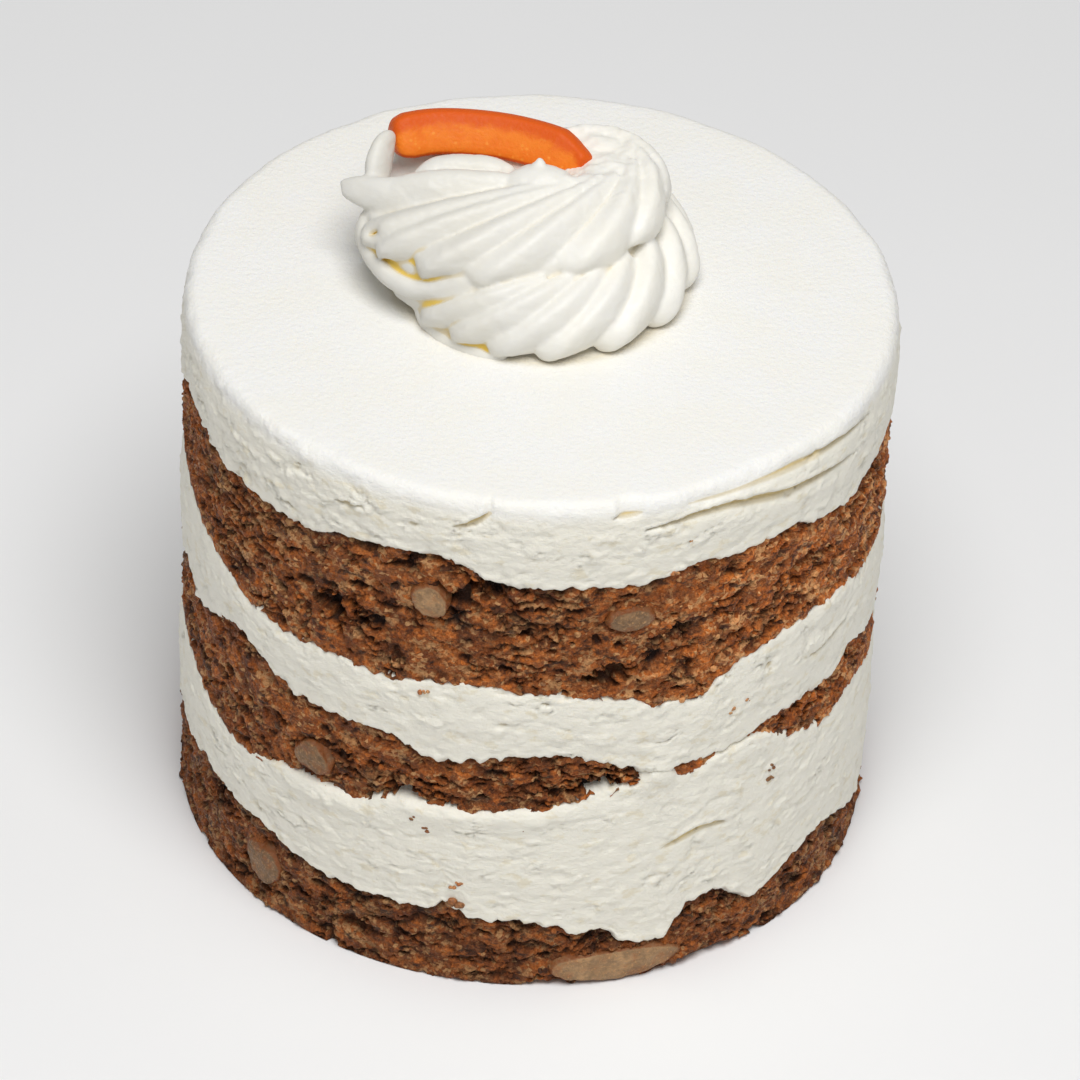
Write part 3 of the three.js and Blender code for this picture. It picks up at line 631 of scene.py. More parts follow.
def evenly(points, count, crowd=1.0):
    """Resamples a path, crowded towards its start by a power, with its unit tangents."""
    steps = np.linalg.norm(np.diff(points, axis=0), axis=1)
    walked = np.concatenate([[0], np.cumsum(steps)])
    at = walked[-1] * np.linspace(0, 1, count) ** crowd
    path = np.stack([np.interp(at, walked, points[:, k]) for k in range(points.shape[1])], 1)
    tangent = np.gradient(path, axis=0)
    return path, tangent / np.linalg.norm(tangent, axis=1, keepdims=True)


def unit(vectors):
    """Vectors brought to length one."""
    return vectors / np.linalg.norm(vectors, axis=-1, keepdims=True)


def on_axis(height):
    """The point of the cake's axis at a height."""
    return np.array([0, 0, height])


def ball_grid(rows, columns):
    """Tilts and turns of a ball's points, in rows between its poles."""
    tilt = np.pi * (np.arange(1, rows) / rows)[:, None]
    return tilt, np.linspace(0, 2 * np.pi, columns, endpoint=False)[None, :]


def eased(value, low, high):
    """Zero below low, one above high and smooth between them."""
    share = np.clip((value - low) / (high - low), 0, 1)
    return share**2 * (3 - 2 * share)


# ---------------------------------------------------------------- layer edges
def wall_angles(columns):
    """Angles of the columns round the wall, from the back."""
    return -180 + 360 * np.arange(columns) / columns


def node_edge(node, side):
    """Height of a CAD layer's lower or upper edge at the wall, for each facet from the back."""
    x, y, z = point_values(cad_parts[node], "co").T / MM
    place = (np.degrees(np.arctan2(x, -y)) + 180) / (360 / FACETS)
    facet = np.rint(place).astype(int)
    on_wall = (np.hypot(x, y) > RADIUS - 2.5) & (np.abs(place - facet) < 0.05) & (z > 0.05)
    heights = [z[on_wall & (facet % FACETS == k)] for k in range(FACETS)]
    if side == "low":
        return np.array([h.min() for h in heights]) - GAP / 2
    return np.array([h.max() for h in heights]) + GAP / 2


def ragged(columns, width, depth, seed):
    """Periodic noise round the wall with waves of a width and a standard depth."""
    rng = np.random.default_rng(seed)
    waves = 2 * math.pi * RADIUS / width
    count = np.arange(columns // 2 + 1)
    band = np.exp(-(((count - waves) / (0.6 * waves)) ** 2))
    spectrum = band * (rng.normal(size=count.size) + 1j * rng.normal(size=count.size))
    spectrum[0] = 0
    noise = np.fft.irfft(spectrum, columns)
    return depth * noise / noise.std()


def edge_line(facets, columns, seed, torn):
    """A layer's edge at every column: the CAD edge, softened, with finer tears added."""
    place = wall_angles(FACETS)
    line = np.interp(wall_angles(columns), place, facets, period=360)
    reach = max(1, columns // 420)
    kernel = np.hanning(2 * reach + 3)[1:-1]
    wrapped = np.concatenate([line[-reach:], line, line[:reach]])
    line = np.convolve(wrapped, kernel / kernel.sum(), "valid")
    fine = ragged(columns, 2.6, torn, seed) + ragged(columns, 1.1, 0.5 * torn, seed + 1)
    return line + fine


def turn_from(middle, angles):
    """How far angles lie from a middle one, in degrees from -180 to 180."""
    return (angles - middle + 180) % 360 - 180


def arc_from(middle, angles):
    """How far angles lie from a middle one along the wall, in millimetres."""
    return np.radians(turn_from(middle, angles)) * RADIUS


def gauss(angles, heights, angle, height, wide, high):
    """A smooth spot of a half width and a half height on the wall, one at its middle."""
    across = arc_from(angle, angles) / wide
    up = (heights - height) / high
    return np.exp(-(across**2) - up**2)


def slit_mark(angles, heights, half_width, points):
    """A slit: one along its middle, and its lip, a mark just above its line."""
    middle = np.mean([angle for angle, _ in points])
    line = [(math.radians(angle - middle) * RADIUS, height) for angle, height in points]
    line = smooth_path(line, 12)
    count = int(np.linalg.norm(np.diff(line, axis=0), axis=1).sum() / 0.12)
    path, _ = evenly(line, count)
    ends = 1 / np.maximum(0.15, np.sin(np.pi * (np.arange(count) + 0.5) / count) ** 0.6)
    across = np.broadcast_to(arc_from(middle, angles), heights.shape)
    near = (np.abs(across) < np.abs(path[:, 0]).max() + 4) & (np.abs(heights - path[:, 1].mean()) < 8)
    away = np.full(heights.shape, 99.0)
    above = np.zeros(heights.shape)
    gaps = np.hypot(across[near][:, None] - path[:, 0], heights[near][:, None] - path[:, 1]) * ends
    nearest = gaps.argmin(axis=1)
    over = heights[near] - path[nearest, 1]
    away[near] = gaps[np.arange(nearest.size), nearest] * (0.7 + 0.8 * eased(over, -0.3, 0.3))
    share = nearest / count
    above[near] = np.sqrt(4 * share * (1 - share)) * eased(over, 0.0, 0.4)
    lip = above * np.exp(-(((away - 2.2 * half_width) / half_width) ** 2))
    return np.exp(-((away / half_width) ** 2)), lip


# ---------------------------------------------------------------- relief and scatter trees
def relief_tree():
    """Pushes a surface in and out as clumps, grains, cracks and ripples where "relief" allows."""
    floats = [
        ("Clump Size", 3 * MM), ("Clump Depth", 0.3 * MM), ("Grain Size", 0.7 * MM),
        ("Grain Depth", 0.2 * MM), ("Crack Size", 4 * MM), ("Crack Width", 0.04), ("Crack Depth", MM),
        ("Crack Share", 0.5), ("Pit Size", 2 * MM), ("Pit Depth", 0.3 * MM), ("Ripple Size", 2 * MM),
        ("Ripple Depth", 0.2 * MM), ("Hollow Depth", 0.6 * MM), ("Stretch", 1.3), ("Crack Stretch", 2.0),
    ]
    tree, graph, group = geometry_tree("surface_relief", floats, [("Seed", 1)])
    place = graph.node("GeometryNodeInputPosition").outputs[0]
    relief = named(graph, "relief")
    cavity = named(graph, "cavity")
    seed = graph.times(group["Seed"], 0.37)
    at = graph.vector("MULTIPLY", place, graph.combine(1.0, 1.0, group["Stretch"]))
    at = graph.vector("ADD", at, graph.combine(seed, seed, seed))
    sway = graph.noise(at, group["Clump Size"], 1.0, output="Color")
    sway = graph.vector("SUBTRACT", sway, (0.5, 0.5, 0.5))
    sway = graph.vector("SCALE", sway, graph.times(group["Clump Size"], 0.9))
    bent = graph.vector("ADD", at, sway)

    def mound(size, depth):
        away = graph.cells(bent, size)["Distance"]
        return graph.times(graph.minus(0.5, away), graph.times(2.0, depth))

    clumps = mound(group["Clump Size"], group["Clump Depth"])
    grains = mound(group["Grain Size"], group["Grain Depth"])
    crumbs = mound(graph.times(group["Grain Size"], 2.3), graph.times(group["Grain Depth"], 1.3))
    long = graph.vector("MULTIPLY", bent, graph.combine(1.0, 1.0, group["Crack Stretch"]))
    line = graph.minus(graph.noise(long, group["Crack Size"], 3.0, 0.6), 0.5)
    crack = graph.ease(graph.math("ABSOLUTE", line), 0.0, group["Crack Width"], 1.0, 0.0)
    torn = graph.noise(at, graph.times(group["Crack Size"], 1.3), 1.0)
    least = graph.minus(0.72, graph.times(group["Crack Share"], 0.4))
    opened = graph.ease(torn, least, graph.plus(least, 0.1))
    cracks = graph.times(graph.times(crack, opened), group["Crack Depth"])
    spot = graph.cells(bent, group["Pit Size"])
    some = graph.node("ShaderNodeSeparateXYZ", {0: spot["Color"]}).outputs[0]
    pit = graph.times(graph.ease(spot["Distance"], 0.08, 0.42, 1.0, 0.0), graph.ease(some, 0.7, 0.85))
    pits = graph.times(pit, group["Pit Depth"])
    wave = graph.minus(graph.noise(bent, group["Ripple Size"], 6.0, 0.62), 0.5)
    ripple = graph.times(wave, graph.times(group["Ripple Depth"], 4.0))

    coarse = graph.minus(graph.plus(clumps, crumbs), graph.math("MAXIMUM", cracks, pits))
    coarse = graph.plus(coarse, ripple)
    push = graph.times(graph.plus(coarse, grains), relief)
    # The hollow mark tells the materials where to paint shade: sunken relief and the given cavity.
    sunk = graph.ease(graph.times(coarse, -1.0), 0.0, group["Hollow Depth"])
    hollow = graph.math("MAXIMUM", graph.times(sunk, relief), cavity)
    surface = stored(graph, group["Geometry"], "rest_at", at, "FLOAT_VECTOR")
    surface = stored(graph, surface, "hollow", hollow)
    normal = graph.node("GeometryNodeInputNormal").outputs[0]
    offset = graph.vector("SCALE", normal, push)
    moved = graph.node("GeometryNodeSetPosition", {"Geometry": surface, "Offset": offset}).outputs[0]
    close_tree(graph, moved, group["Material"])
    return tree


def scatter_tree():
    """Strews lumpy grains over a surface, as dense as "perch" says, and keeps only the grains."""
    floats = [("Density", 6e5), ("Smallest", 0.3 * MM), ("Largest", 0.9 * MM), ("Flatness", 0.7),
              ("Lift", 0.1)]
    tree, graph, group = geometry_tree("scattered_grains", floats, [("Seed", 1)])
    density = graph.times(group["Density"], named(graph, "perch"))
    spots = graph.node("GeometryNodeDistributePointsOnFaces",
                       {"Mesh": group["Geometry"], "Seed": group["Seed"], "Density": density})

    def chance(low, high, seed, data_type="FLOAT"):
        node = graph.node("FunctionNodeRandomValue", (), data_type=data_type)
        kind = {"FLOAT": bpy.types.NodeSocketFloat, "FLOAT_VECTOR": bpy.types.NodeSocketVector}[data_type]
        low_socket, high_socket = [s for s in node.inputs if isinstance(s, kind) and s.enabled][:2]
        graph.feed(low_socket, low)
        graph.feed(high_socket, high)
        graph.feed(node.inputs["Seed"], graph.plus(group["Seed"], seed))
        return next(s for s in node.outputs if s.enabled)

    skew = graph.math("POWER", chance(0.0, 1.0, 11.0), 1.8)
    spread = graph.minus(group["Largest"], group["Smallest"])
    size = graph.plus(group["Smallest"], graph.times(skew, spread))
    shape = chance((0.75, 0.75, 0.75), (1.25, 1.25, 1.25), 23.0, "FLOAT_VECTOR")
    shape = graph.vector("MULTIPLY", shape, graph.combine(1.0, 1.0, group["Flatness"]))
    lift = graph.vector("SCALE", spots.outputs["Normal"], graph.times(size, group["Lift"]))
    points = graph.node("GeometryNodeSetPosition", {"Geometry": spots.outputs["Points"], "Offset": lift})
    ball = graph.node("GeometryNodeMeshUVSphere", {"Segments": 7, "Rings": 4, "Radius": 0.5}).outputs["Mesh"]
    grains = graph.node("GeometryNodeInstanceOnPoints",
                        {"Points": points.outputs[0], "Instance": ball,
                         "Rotation": spots.outputs["Rotation"], "Scale": graph.vector("SCALE", shape, size)})
    spin = graph.combine(0.0, 0.0, chance(0.0, 2 * math.pi, 31.0))
    turned = graph.node("GeometryNodeRotateInstances", {"Instances": grains.outputs[0], "Rotation": spin})
    toned = stored(graph, turned.outputs[0], "tone", chance(0.0, 1.0, 47.0), "FLOAT", "INSTANCE")
    whole = graph.node("GeometryNodeRealizeInstances", {0: toned}).outputs[0]
    place = graph.node("GeometryNodeInputPosition").outputs[0]
    dent = graph.vector("SUBTRACT", graph.noise(place, 0.45 * MM, 1.0, output="Color"), (0.5, 0.5, 0.5))
    lumpy = graph.node("GeometryNodeSetPosition",
                       {"Geometry": whole, "Offset": graph.vector("SCALE", dent, 0.35 * MM)})
    smooth = graph.node("GeometryNodeSetShadeSmooth", {0: lumpy.outputs[0]}).outputs[0]
    close_tree(graph, smooth, group["Material"])
    return tree


# ---------------------------------------------------------------- materials
def new_material(name):
    """A material with its graph, the inputs of its Principled shader and the place on the piece."""
    material = bpy.data.materials.new(name)
    material.use_nodes = True
    graph = Graph(material.node_tree)
    shader = graph.node("ShaderNodeBsdfPrincipled")
    graph.node("ShaderNodeOutputMaterial", {"Surface": shader.outputs[0]})
    return material, graph, shader.inputs, graph.node("ShaderNodeTexCoord").outputs["Object"]


def tinted(base, factors):
    """A colour with a factor for each of its red, green and blue."""
    return tuple(min(1.0, share * factor) for share, factor in zip(base, factors))


def let_light_in(shader, weight, radius, scale):
    """Lets light into a material, to a scale in millimetres times a radius for each colour."""
    shader["Subsurface Weight"].default_value = weight
    shader["Subsurface Radius"].default_value = radius
    shader["Subsurface Scale"].default_value = scale * MM


def attribute(graph, name, output="Fac"):
    """Reads a mesh attribute in a material."""
    return graph.node("ShaderNodeAttribute", (), attribute_name=name).outputs[output]


def crumb_material():
    """Moist brown sponge: patches, grains of many tones, painted glints and painted shade in its hollows."""
    sizes = bpy.context.scene.cake_sizes
    paint = bpy.context.scene.cake_colours
    material, graph, shader, here = new_material("crumb")
    at = attribute(graph, "rest_at", "Vector")
    hollow = attribute(graph, "hollow")
    patch = graph.noise(at, 6 * MM, 6.0, 0.66)
    base = graph.ramp(patch, [(0.3, paint.crumb_grey), (0.4, paint.crumb_brown), (0.47, paint.crumb_orange),
                              (0.53, paint.crumb_brown), (0.6, paint.crumb_orange), (0.7, paint.crumb_grey)])
    parts = graph.node("ShaderNodeSeparateColor", {0: graph.cells(at, sizes.grain)["Color"]}).outputs
    tone = graph.times(graph.ease(parts[0], 0.0, 1.0, 0.7, 1.26),
                       graph.ease(graph.noise(at, 3.4 * MM, 3.0, 0.6), 0.34, 0.64, 0.7, 1.34))
    toned = graph.toned(base, tone, 1.15, 1.35)
    pale_patch = graph.ease(graph.noise(at, 2.6 * MM, 4.0), 0.5, 0.6)
    pale = graph.times(pale_patch, graph.ease(parts[1], 0.35, 0.6, 0.0, 0.65))
    pale = graph.math("MAXIMUM", pale, graph.ease(parts[2], 0.93, 0.97, 0.0, 0.8))
    light = graph.mix(pale, toned, paint.crumb_tan)
    fine = graph.noise(here, 0.32 * MM, 5.0, 0.75)
    # Painted highlights: tan glints where the fine noise is high.
    glint = graph.times(graph.ease(fine, 0.58, 0.68), 0.6)
    flecks = graph.mix(glint, light, paint.crumb_tan)
    dim = graph.ease(fine, 0.3, 0.52, 0.45, 1.05)
    flecks = graph.toned(flecks, dim, 1.25, 1.6)
    # Painted light: the crumb is lighter towards +X, more so higher up, over a tone that gets lighter
    # upwards.
    across, _, height = graph.node("ShaderNodeSeparateXYZ", {0: here}).outputs
    gain = graph.times(graph.ease_mm(across, *CRUMB_PAINTED_LIGHT_ACROSS), graph.ease_mm(height, *CRUMB_PAINTED_LIGHT_UP))
    dim = graph.times(graph.ease_mm(height, *CRUMB_TONE_UP), graph.plus(gain, 1.0))
    shaded = graph.toned(flecks, dim)
    wet = graph.noise(graph.vector("MULTIPLY", at, (1.0, 1.0, 1.5)), 2.2 * MM, 5.0, 0.65)
    # Painted shade: crumb_dark where the hollow mark is high, in holes, cracks and the band under the cream;
    # also random dark patches.
    painted_shade_and_dark_patches = graph.math("MAXIMUM", hollow, graph.ease(wet, 0.36, 0.46, 0.8, 0.0))
    graph.feed(shader["Base Color"], graph.mix(painted_shade_and_dark_patches, shaded, paint.crumb_dark))
    graph.feed(shader["Roughness"], graph.ease(fine, 0.35, 0.65, 0.75, 0.4))
    grainy = graph.minus(1.0, graph.cells(here, 0.34 * MM)["Distance"])
    normal = graph.bump(grainy, 0.16 * MM)
    graph.feed(shader["Normal"], graph.bump(fine, 0.2 * MM, normal))
    shader["Specular IOR Level"].default_value = 0.35
    return material


def grain_material():
    """Crumbs that lie on the cream, each with its own tone."""
    paint = bpy.context.scene.cake_colours
    material, graph, shader, at = new_material("loose_crumb")
    base = graph.ramp(attribute(graph, "tone"), [(0.0, paint.crumb_tan), (0.4, paint.crumb_orange),
                                                 (0.7, paint.crumb_grey), (1.0, paint.crumb_brown)])
    fine = graph.noise(at, 0.3 * MM, 3.0, 0.6)
    shade = graph.ease(fine, 0.3, 0.7, 0.6, 1.3)
    graph.feed(shader["Base Color"], graph.toned(base, shade))
    graph.feed(shader["Roughness"], graph.ease(fine, 0.3, 0.7, 0.4, 0.7))
    graph.feed(shader["Normal"], graph.bump(fine, 0.12 * MM))
    return material


def cream_material(name, paint_value, deep_value, crease_share, smudge_share, ripple_depth):
    """Whipped cream: soft white and smudged, with painted shade: warmer on the walls and in its creases,
    ochre in deep hollows.
    """
    paint = bpy.context.scene.cake_colours
    material, graph, shader, at = new_material(name)
    hollow = attribute(graph, "hollow")
    cloud = graph.noise(at, 7 * MM, 2.0)
    warm = tinted(paint_value, (1.0, 0.993, 0.97))
    base = graph.mix(graph.ease(cloud, 0.35, 0.65), paint_value, warm)
    spots = graph.noise(graph.vector("MULTIPLY", at, (1.0, 1.0, 1.7)), 2.4 * MM, 4.0, 0.6)
    across, _, height = graph.node("ShaderNodeSeparateXYZ", {0: at}).outputs
    # Painted light: the swirl is painted lighter towards +X; the spread cream below it keeps its colour.
    side = graph.ease_mm(across, *PIPED_PAINTED_LIGHT_ACROSS)
    side = graph.mix(graph.ease_mm(height, *PIPED_SHARE_UP), (1, 1, 1), graph.combine(side, side, side))
    base = graph.mix(1.0, base, side, "MULTIPLY")
    on_wall = graph.ease_mm(height, *WALL_SHARE_UP)
    # Painted shade: the walls are painted a darker, warmer cream than the flat top.
    base = graph.mix(on_wall, base, tinted(paint_value, (0.98, 0.955, 0.87)))
    smudge = graph.times(graph.ease(spots, 0.56, 0.68, 0.0, smudge_share), on_wall)
    base = graph.mix(smudge, base, paint.cream_smudge)
    # Painted shade: the crease colour in creases, the hollow colour in deep hollows.
    crease = graph.ease(hollow, 0.15, 0.55, 0.0, crease_share)
    creased = graph.mix(crease, base, paint.cream_crease)
    deep = graph.ease(hollow, 0.6, 1.0)
    graph.feed(shader["Base Color"], graph.mix(deep, creased, deep_value))
    fine = graph.noise(graph.vector("MULTIPLY", at, (1.0, 1.0, 1.6)), 0.6 * MM, 5.0, 0.65)
    graph.feed(shader["Roughness"], graph.ease(fine, 0.3, 0.7, 0.42, 0.6))
    graph.feed(shader["Normal"], graph.bump(fine, ripple_depth * MM))
    let_light_in(shader, 0.15, (1.0, 0.9, 0.7), 0.5)
    return material


def wedge_material():
    """Orange skin running into a lighter, juicy cut face with pale specks."""
    paint = bpy.context.scene.cake_colours
    material, graph, shader, at = new_material("wedge_fruit")
    cloud = graph.noise(at, 1.6 * MM, 5.0, 0.6)
    deep = tinted(paint.flesh, (0.96, 0.84, 0.7))
    flesh = graph.mix(graph.ease(cloud, 0.35, 0.65), deep, paint.flesh)
    pulp = graph.cells(at, 0.5 * MM)
    chance = graph.node("ShaderNodeSeparateColor", {0: pulp["Color"]}).outputs[0]
    speck = graph.times(graph.ease(pulp["Distance"], 0.2, 0.5, 0.6, 0.0), graph.ease(chance, 0.72, 0.9))
    pale = tinted(paint.flesh, (1.05, 1.5, 2.4))
    flesh = graph.mix(speck, flesh, pale)
    wobble = graph.times(graph.minus(cloud, 0.5), 0.9)
    face = graph.ease(graph.plus(attribute(graph, "face"), wobble), 0.15, 0.85)
    graph.feed(shader["Base Color"], graph.mix(face, paint.skin, flesh))
    fine = graph.noise(at, 0.4 * MM, 4.0, 0.6)
    graph.feed(shader["Roughness"], graph.ease(fine, 0.3, 0.7, 0.42, 0.62))
    graph.feed(shader["Normal"], graph.bump(fine, 0.08 * MM))
    shader["Specular IOR Level"].default_value = 0.2
    let_light_in(shader, 0.1, (0.8, 0.35, 0.15), 0.8)
    return material


def nut_material():
    """A cut nut: grainy and a little see-through, running into the crumb at its edge."""
    paint = bpy.context.scene.cake_colours
    material, graph, shader, at = new_material("nut_kernel")
    cloud = graph.noise(at, 1.1 * MM, 5.0, 0.65)
    fine = graph.noise(at, 0.3 * MM, 4.0, 0.7)
    body = graph.mix(attribute(graph, "pale"), paint.nut_dull, paint.nut)
    crusted = graph.ease(graph.noise(at, 2.2 * MM, 4.0, 0.6), 0.46, 0.66, 0.0, 0.65)
    body = graph.mix(crusted, body, paint.crumb_brown)
    shade = graph.ease(cloud, 0.32, 0.68, 0.66, 1.24)
    body = graph.toned(body, shade)
    body = graph.mix(graph.ease(fine, 0.54, 0.66, 0.0, 0.65), body, paint.crumb_tan)
    wobble = graph.times(graph.minus(cloud, 0.5), 1.6)
    rim = graph.ease(graph.plus(attribute(graph, "rim"), wobble), 0.5, 1.1)
    graph.feed(shader["Base Color"], graph.mix(rim, body, paint.crumb_brown))
    graph.feed(shader["Roughness"], graph.ease(fine, 0.3, 0.7, 0.55, 0.35))
    graph.feed(shader["Normal"], graph.bump(fine, 0.14 * MM))
    shader["Specular IOR Level"].default_value = 0.35
    let_light_in(shader, 0.2, (1.0, 0.7, 0.45), 0.8)
    return material


def floor_material():
    """A pale matt floor."""
    paint = bpy.context.scene.cake_colours
    material, graph, shader, at = new_material("floor")
    cloud = graph.noise(at, 90 * MM, 2.0)
    dull = tinted(paint.floor, (0.985, 0.985, 0.985))
    graph.feed(shader["Base Color"], graph.mix(cloud, dull, paint.floor))
    graph.feed(shader["Roughness"], graph.ease(cloud, 0.3, 0.7, 0.7, 0.8))
    return material


# ---------------------------------------------------------------- sponge
def columns_for(step):
    """Columns round the wall for a spacing in metres."""
    return int(round(2 * math.pi * RADIUS * MM / step))


def wall_grid(foot, head, step, low_tuck, high_tuck):
    """Angles and heights of a wall's points, in rows from below its foot to above its head."""
    angles = wall_angles(foot.size)[None, :]
    tall = np.max(head - foot) + low_tuck + high_tuck
    rows = int(math.ceil(tall / (step / MM)))
    share = np.linspace(0, 1, rows + 1)[:, None]
    heights = (foot - low_tuck) + share * (head - foot + low_tuck + high_tuck)
    return angles, heights


def nut_places(host):
    """The nuts of a sponge."""
    return [nut for nut in NUTS if nut[1] == host]


def wall_noise(shape, step, width, seed, flat=1.0):
    """Smooth noise over a wall's grid with waves of a width, wider than high by a factor."""
    rng = np.random.default_rng(seed)
    rows, columns = 2 * shape[0], shape[1]
    up = np.fft.fftfreq(rows)[:, None] / flat
    waves = np.hypot(up, np.fft.rfftfreq(columns)[None, :]) * width / step
    band = np.exp(-(((waves - 1) / 0.6) ** 2))
    noise = np.fft.irfft2(band * (rng.normal(size=band.shape) + 1j * rng.normal(size=band.shape)),
                          (rows, columns))
    return noise[:shape[0]] / noise.std()


def sponge_wall(node, foot, head, step, low_tuck, seed):
    """Rings of a sponge's wall, with its cavities marked for painted shade, and where relief and grains may
    be.
    """
    angles, heights = wall_grid(foot, head, step, low_tuck, TUCK)
    radius = np.full(heights.shape, SPONGE_RADIUS)
    below_head = head - heights
    above_foot = heights - foot
    band = CRUMB_UNDER["band"] + np.clip(ragged(head.size, 9, 0.45, seed + 11), -0.25, 0.9)
    under = np.exp(-((np.maximum(below_head - CRUMB_UNDER["start"], 0) / band) ** 2))
    radius -= CRUMB_UNDER["depth"] * under
    radius += CRUMB_FOOT["swell"] * np.exp(-((above_foot / CRUMB_FOOT["band"]) ** 2))
    # The cavity mark is painted shade: the shadow band under the cream, then the holes and torn patches.
    cavity = 0.95 * under
    warp = 0.35 * wall_noise(heights.shape, step / MM, 2.2, seed + 21)
    for angle, height, wide, high, depth in CRUMB_HOLES[node]:
        away = np.hypot(arc_from(angle, angles) / wide, (heights - height) / high) + warp
        radius -= depth * eased(-away, -1.15, -0.6)
        cavity = np.maximum(cavity, min(1.0, depth / 1.7) * eased(-away, -1.05, -0.75))
    patches = wall_noise(heights.shape, step / MM, CRUMB_TORN["width"], seed + 31, CRUMB_TORN["flat"])
    torn = eased(patches + 0.5 * warp, CRUMB_TORN["from"], CRUMB_TORN["to"])
    radius -= CRUMB_TORN["depth"] * torn
    cavity = np.maximum(cavity, 0.9 * torn)
    seat = np.zeros(heights.shape)
    for _, _, angle, height, wide, high, _, _ in nut_places(node):
        share = NUT_SEAT["share"]
        inside = np.hypot(arc_from(angle, angles) / (share * wide), (heights - height) / (share * high))
        seat = np.maximum(seat, eased(-inside, -1.05, -0.85))
    cavity *= 1 - seat
    radius = np.where(seat > 0, np.maximum(radius, SPONGE_RADIUS - NUT_SEAT["wall"]), radius)
    radius = radius - NUT_SEAT["depth"] * seat
    radius -= TUCK_SLOPE * (np.maximum(-above_foot, 0) + np.maximum(-below_head, 0))
    relief = np.clip(1 - np.maximum(-below_head, 0) / TUCK, 0, 1) * (1 - 0.85 * seat)
    if low_tuck:
        relief = relief * (0.15 + 0.85 * eased(above_foot, 0.0, 1.5))
    relief = relief * (1 - 0.5 * cavity)
    relief[[0, -1]] = 0
    perch = (above_foot > 0.1) * (below_head > 0.9) * (1 - np.clip(1.5 * cavity, 0, 1)) * (seat < 0.3)
    rings = unrolled(angles, heights, radius)
    return rings, {"relief": relief, "cavity": cavity, "perch": perch}


def sponge_piece(node, low_edge, high_edge, material, tree, flat=False):
    """One sponge: its wall with crumb relief, replacing its CAD layer."""
    sizes = bpy.context.scene.cake_sizes
    seed = SEEDS[node]
    columns = columns_for(sizes.sponge_step)
    foot = edge_line(low_edge, columns, seed, 0.12 if flat else 0.17)
    head = edge_line(high_edge, columns, seed + 5, 0.1) + 0.5
    if flat:
        foot = np.maximum(foot, 0.12)
    rings, marks = sponge_wall(node, foot, head, sizes.sponge_step, 0.0 if flat else TUCK, seed)
    low_middle = on_axis(0.0 if flat else low_edge.mean() + POLE_DIP)
    high_middle = on_axis(high_edge.mean() - POLE_DIP)
    under = [low_middle + (rings[0] - low_middle) * share for share in HIDDEN_RINGS[::-1]]
    over = [high_middle + (rings[-1] - high_middle) * share for share in HIDDEN_RINGS]
    if flat:
        sole = unrolled(wall_angles(columns), 0.0, FOOT_RADIUS - 0.3)
        under = [sole * share for share in HIDDEN_RINGS[::-1]] + [sole]
    rings = np.concatenate([under, rings, over])
    padded = {k: np.concatenate([np.zeros((len(under), columns)), v, np.zeros((len(over), columns))])
              for k, v in marks.items()}
    piece = loft_piece(node + "_crumb", rings, low_middle, high_middle, padded)
    run_nodes(piece, tree, {
        "Clump Size": sizes.clump, "Clump Depth": 0.42 * MM, "Grain Size": sizes.grain,
        "Grain Depth": 0.15 * MM, "Crack Size": 1.8 * sizes.clump, "Crack Width": 0.06,
        "Crack Depth": sizes.crack_depth, "Crack Share": 0.7, "Pit Size": 2.0 * MM, "Pit Depth": 0.35 * MM,
        "Ripple Size": 1.9 * MM, "Ripple Depth": 0.24 * MM, "Hollow Depth": 1.0 * MM, "Stretch": 1.3,
        "Crack Stretch": 2.0, "Seed": seed, "Material": material,
    })
    settle(piece)
    finish_piece(piece, "sponge", node)


# ---------------------------------------------------------------- cream layers
def cream_wall(node, angles, heights, foot, head):
    """Radius and cavity of a cream wall: a bulge, slits with a lip, smears; the cavity marks the slits for
    painted shade.
    """
    share = np.clip((heights - foot) / (head - foot), 0, 1)
    radius = CREAM_RADIUS + CREAM_BULGE * 4 * share * (1 - share)
    radius = radius + CREAM_FOOT["swell"] * np.exp(-(((heights - foot) / CREAM_FOOT["band"]) ** 2))
    drawn = np.exp(-((np.maximum(head - heights, 0) / CREAM_HEAD["band"]) ** 2))
    radius = radius - CREAM_HEAD["depth"] * drawn * (node != "cream_top")
    cavity = np.zeros(heights.shape)
    for half_width, depth, points in CREAM_SLITS[node]:
        mark, lip = slit_mark(angles, heights, half_width, points)
        radius = radius - depth * mark + SLIT_LIP * lip
        # The slits are marked for painted shade.
        cavity = np.maximum(cavity, np.clip(1.1 * mark - 0.2, 0, 1))
    for angle, height, wide, high, thick in CREAM_SMEARS[node]:
        radius = radius + thick * gauss(angles, heights, angle, height, wide, high)
    return radius, cavity


def cream_relief(shape, step, seed):
    """Relief of a cream wall: rough patches between smooth ones."""
    return np.clip(0.8 + 0.4 * wall_noise(shape, step / MM, 7.0, seed, 1.6), 0.3, 1.4)


def cream_values(material, seed, ripple):
    """What the relief tree makes of spread cream, its depths in shares of a ripple."""
    return {
        "Clump Size": 3.2 * MM, "Clump Depth": 0.45 * ripple, "Grain Size": 0.6 * MM,
        "Grain Depth": 0.2 * ripple, "Crack Size": 6 * MM, "Crack Width": 0.02, "Crack Depth": 0.9 * ripple,
        "Crack Share": 0.4, "Pit Size": 2.4 * MM, "Pit Depth": 0.7 * ripple, "Ripple Size": 2.0 * MM,
        "Ripple Depth": 0.62 * ripple, "Hollow Depth": 2.6 * ripple, "Stretch": 1.6, "Crack Stretch": 2.0,
        "Seed": seed, "Material": material,
    }


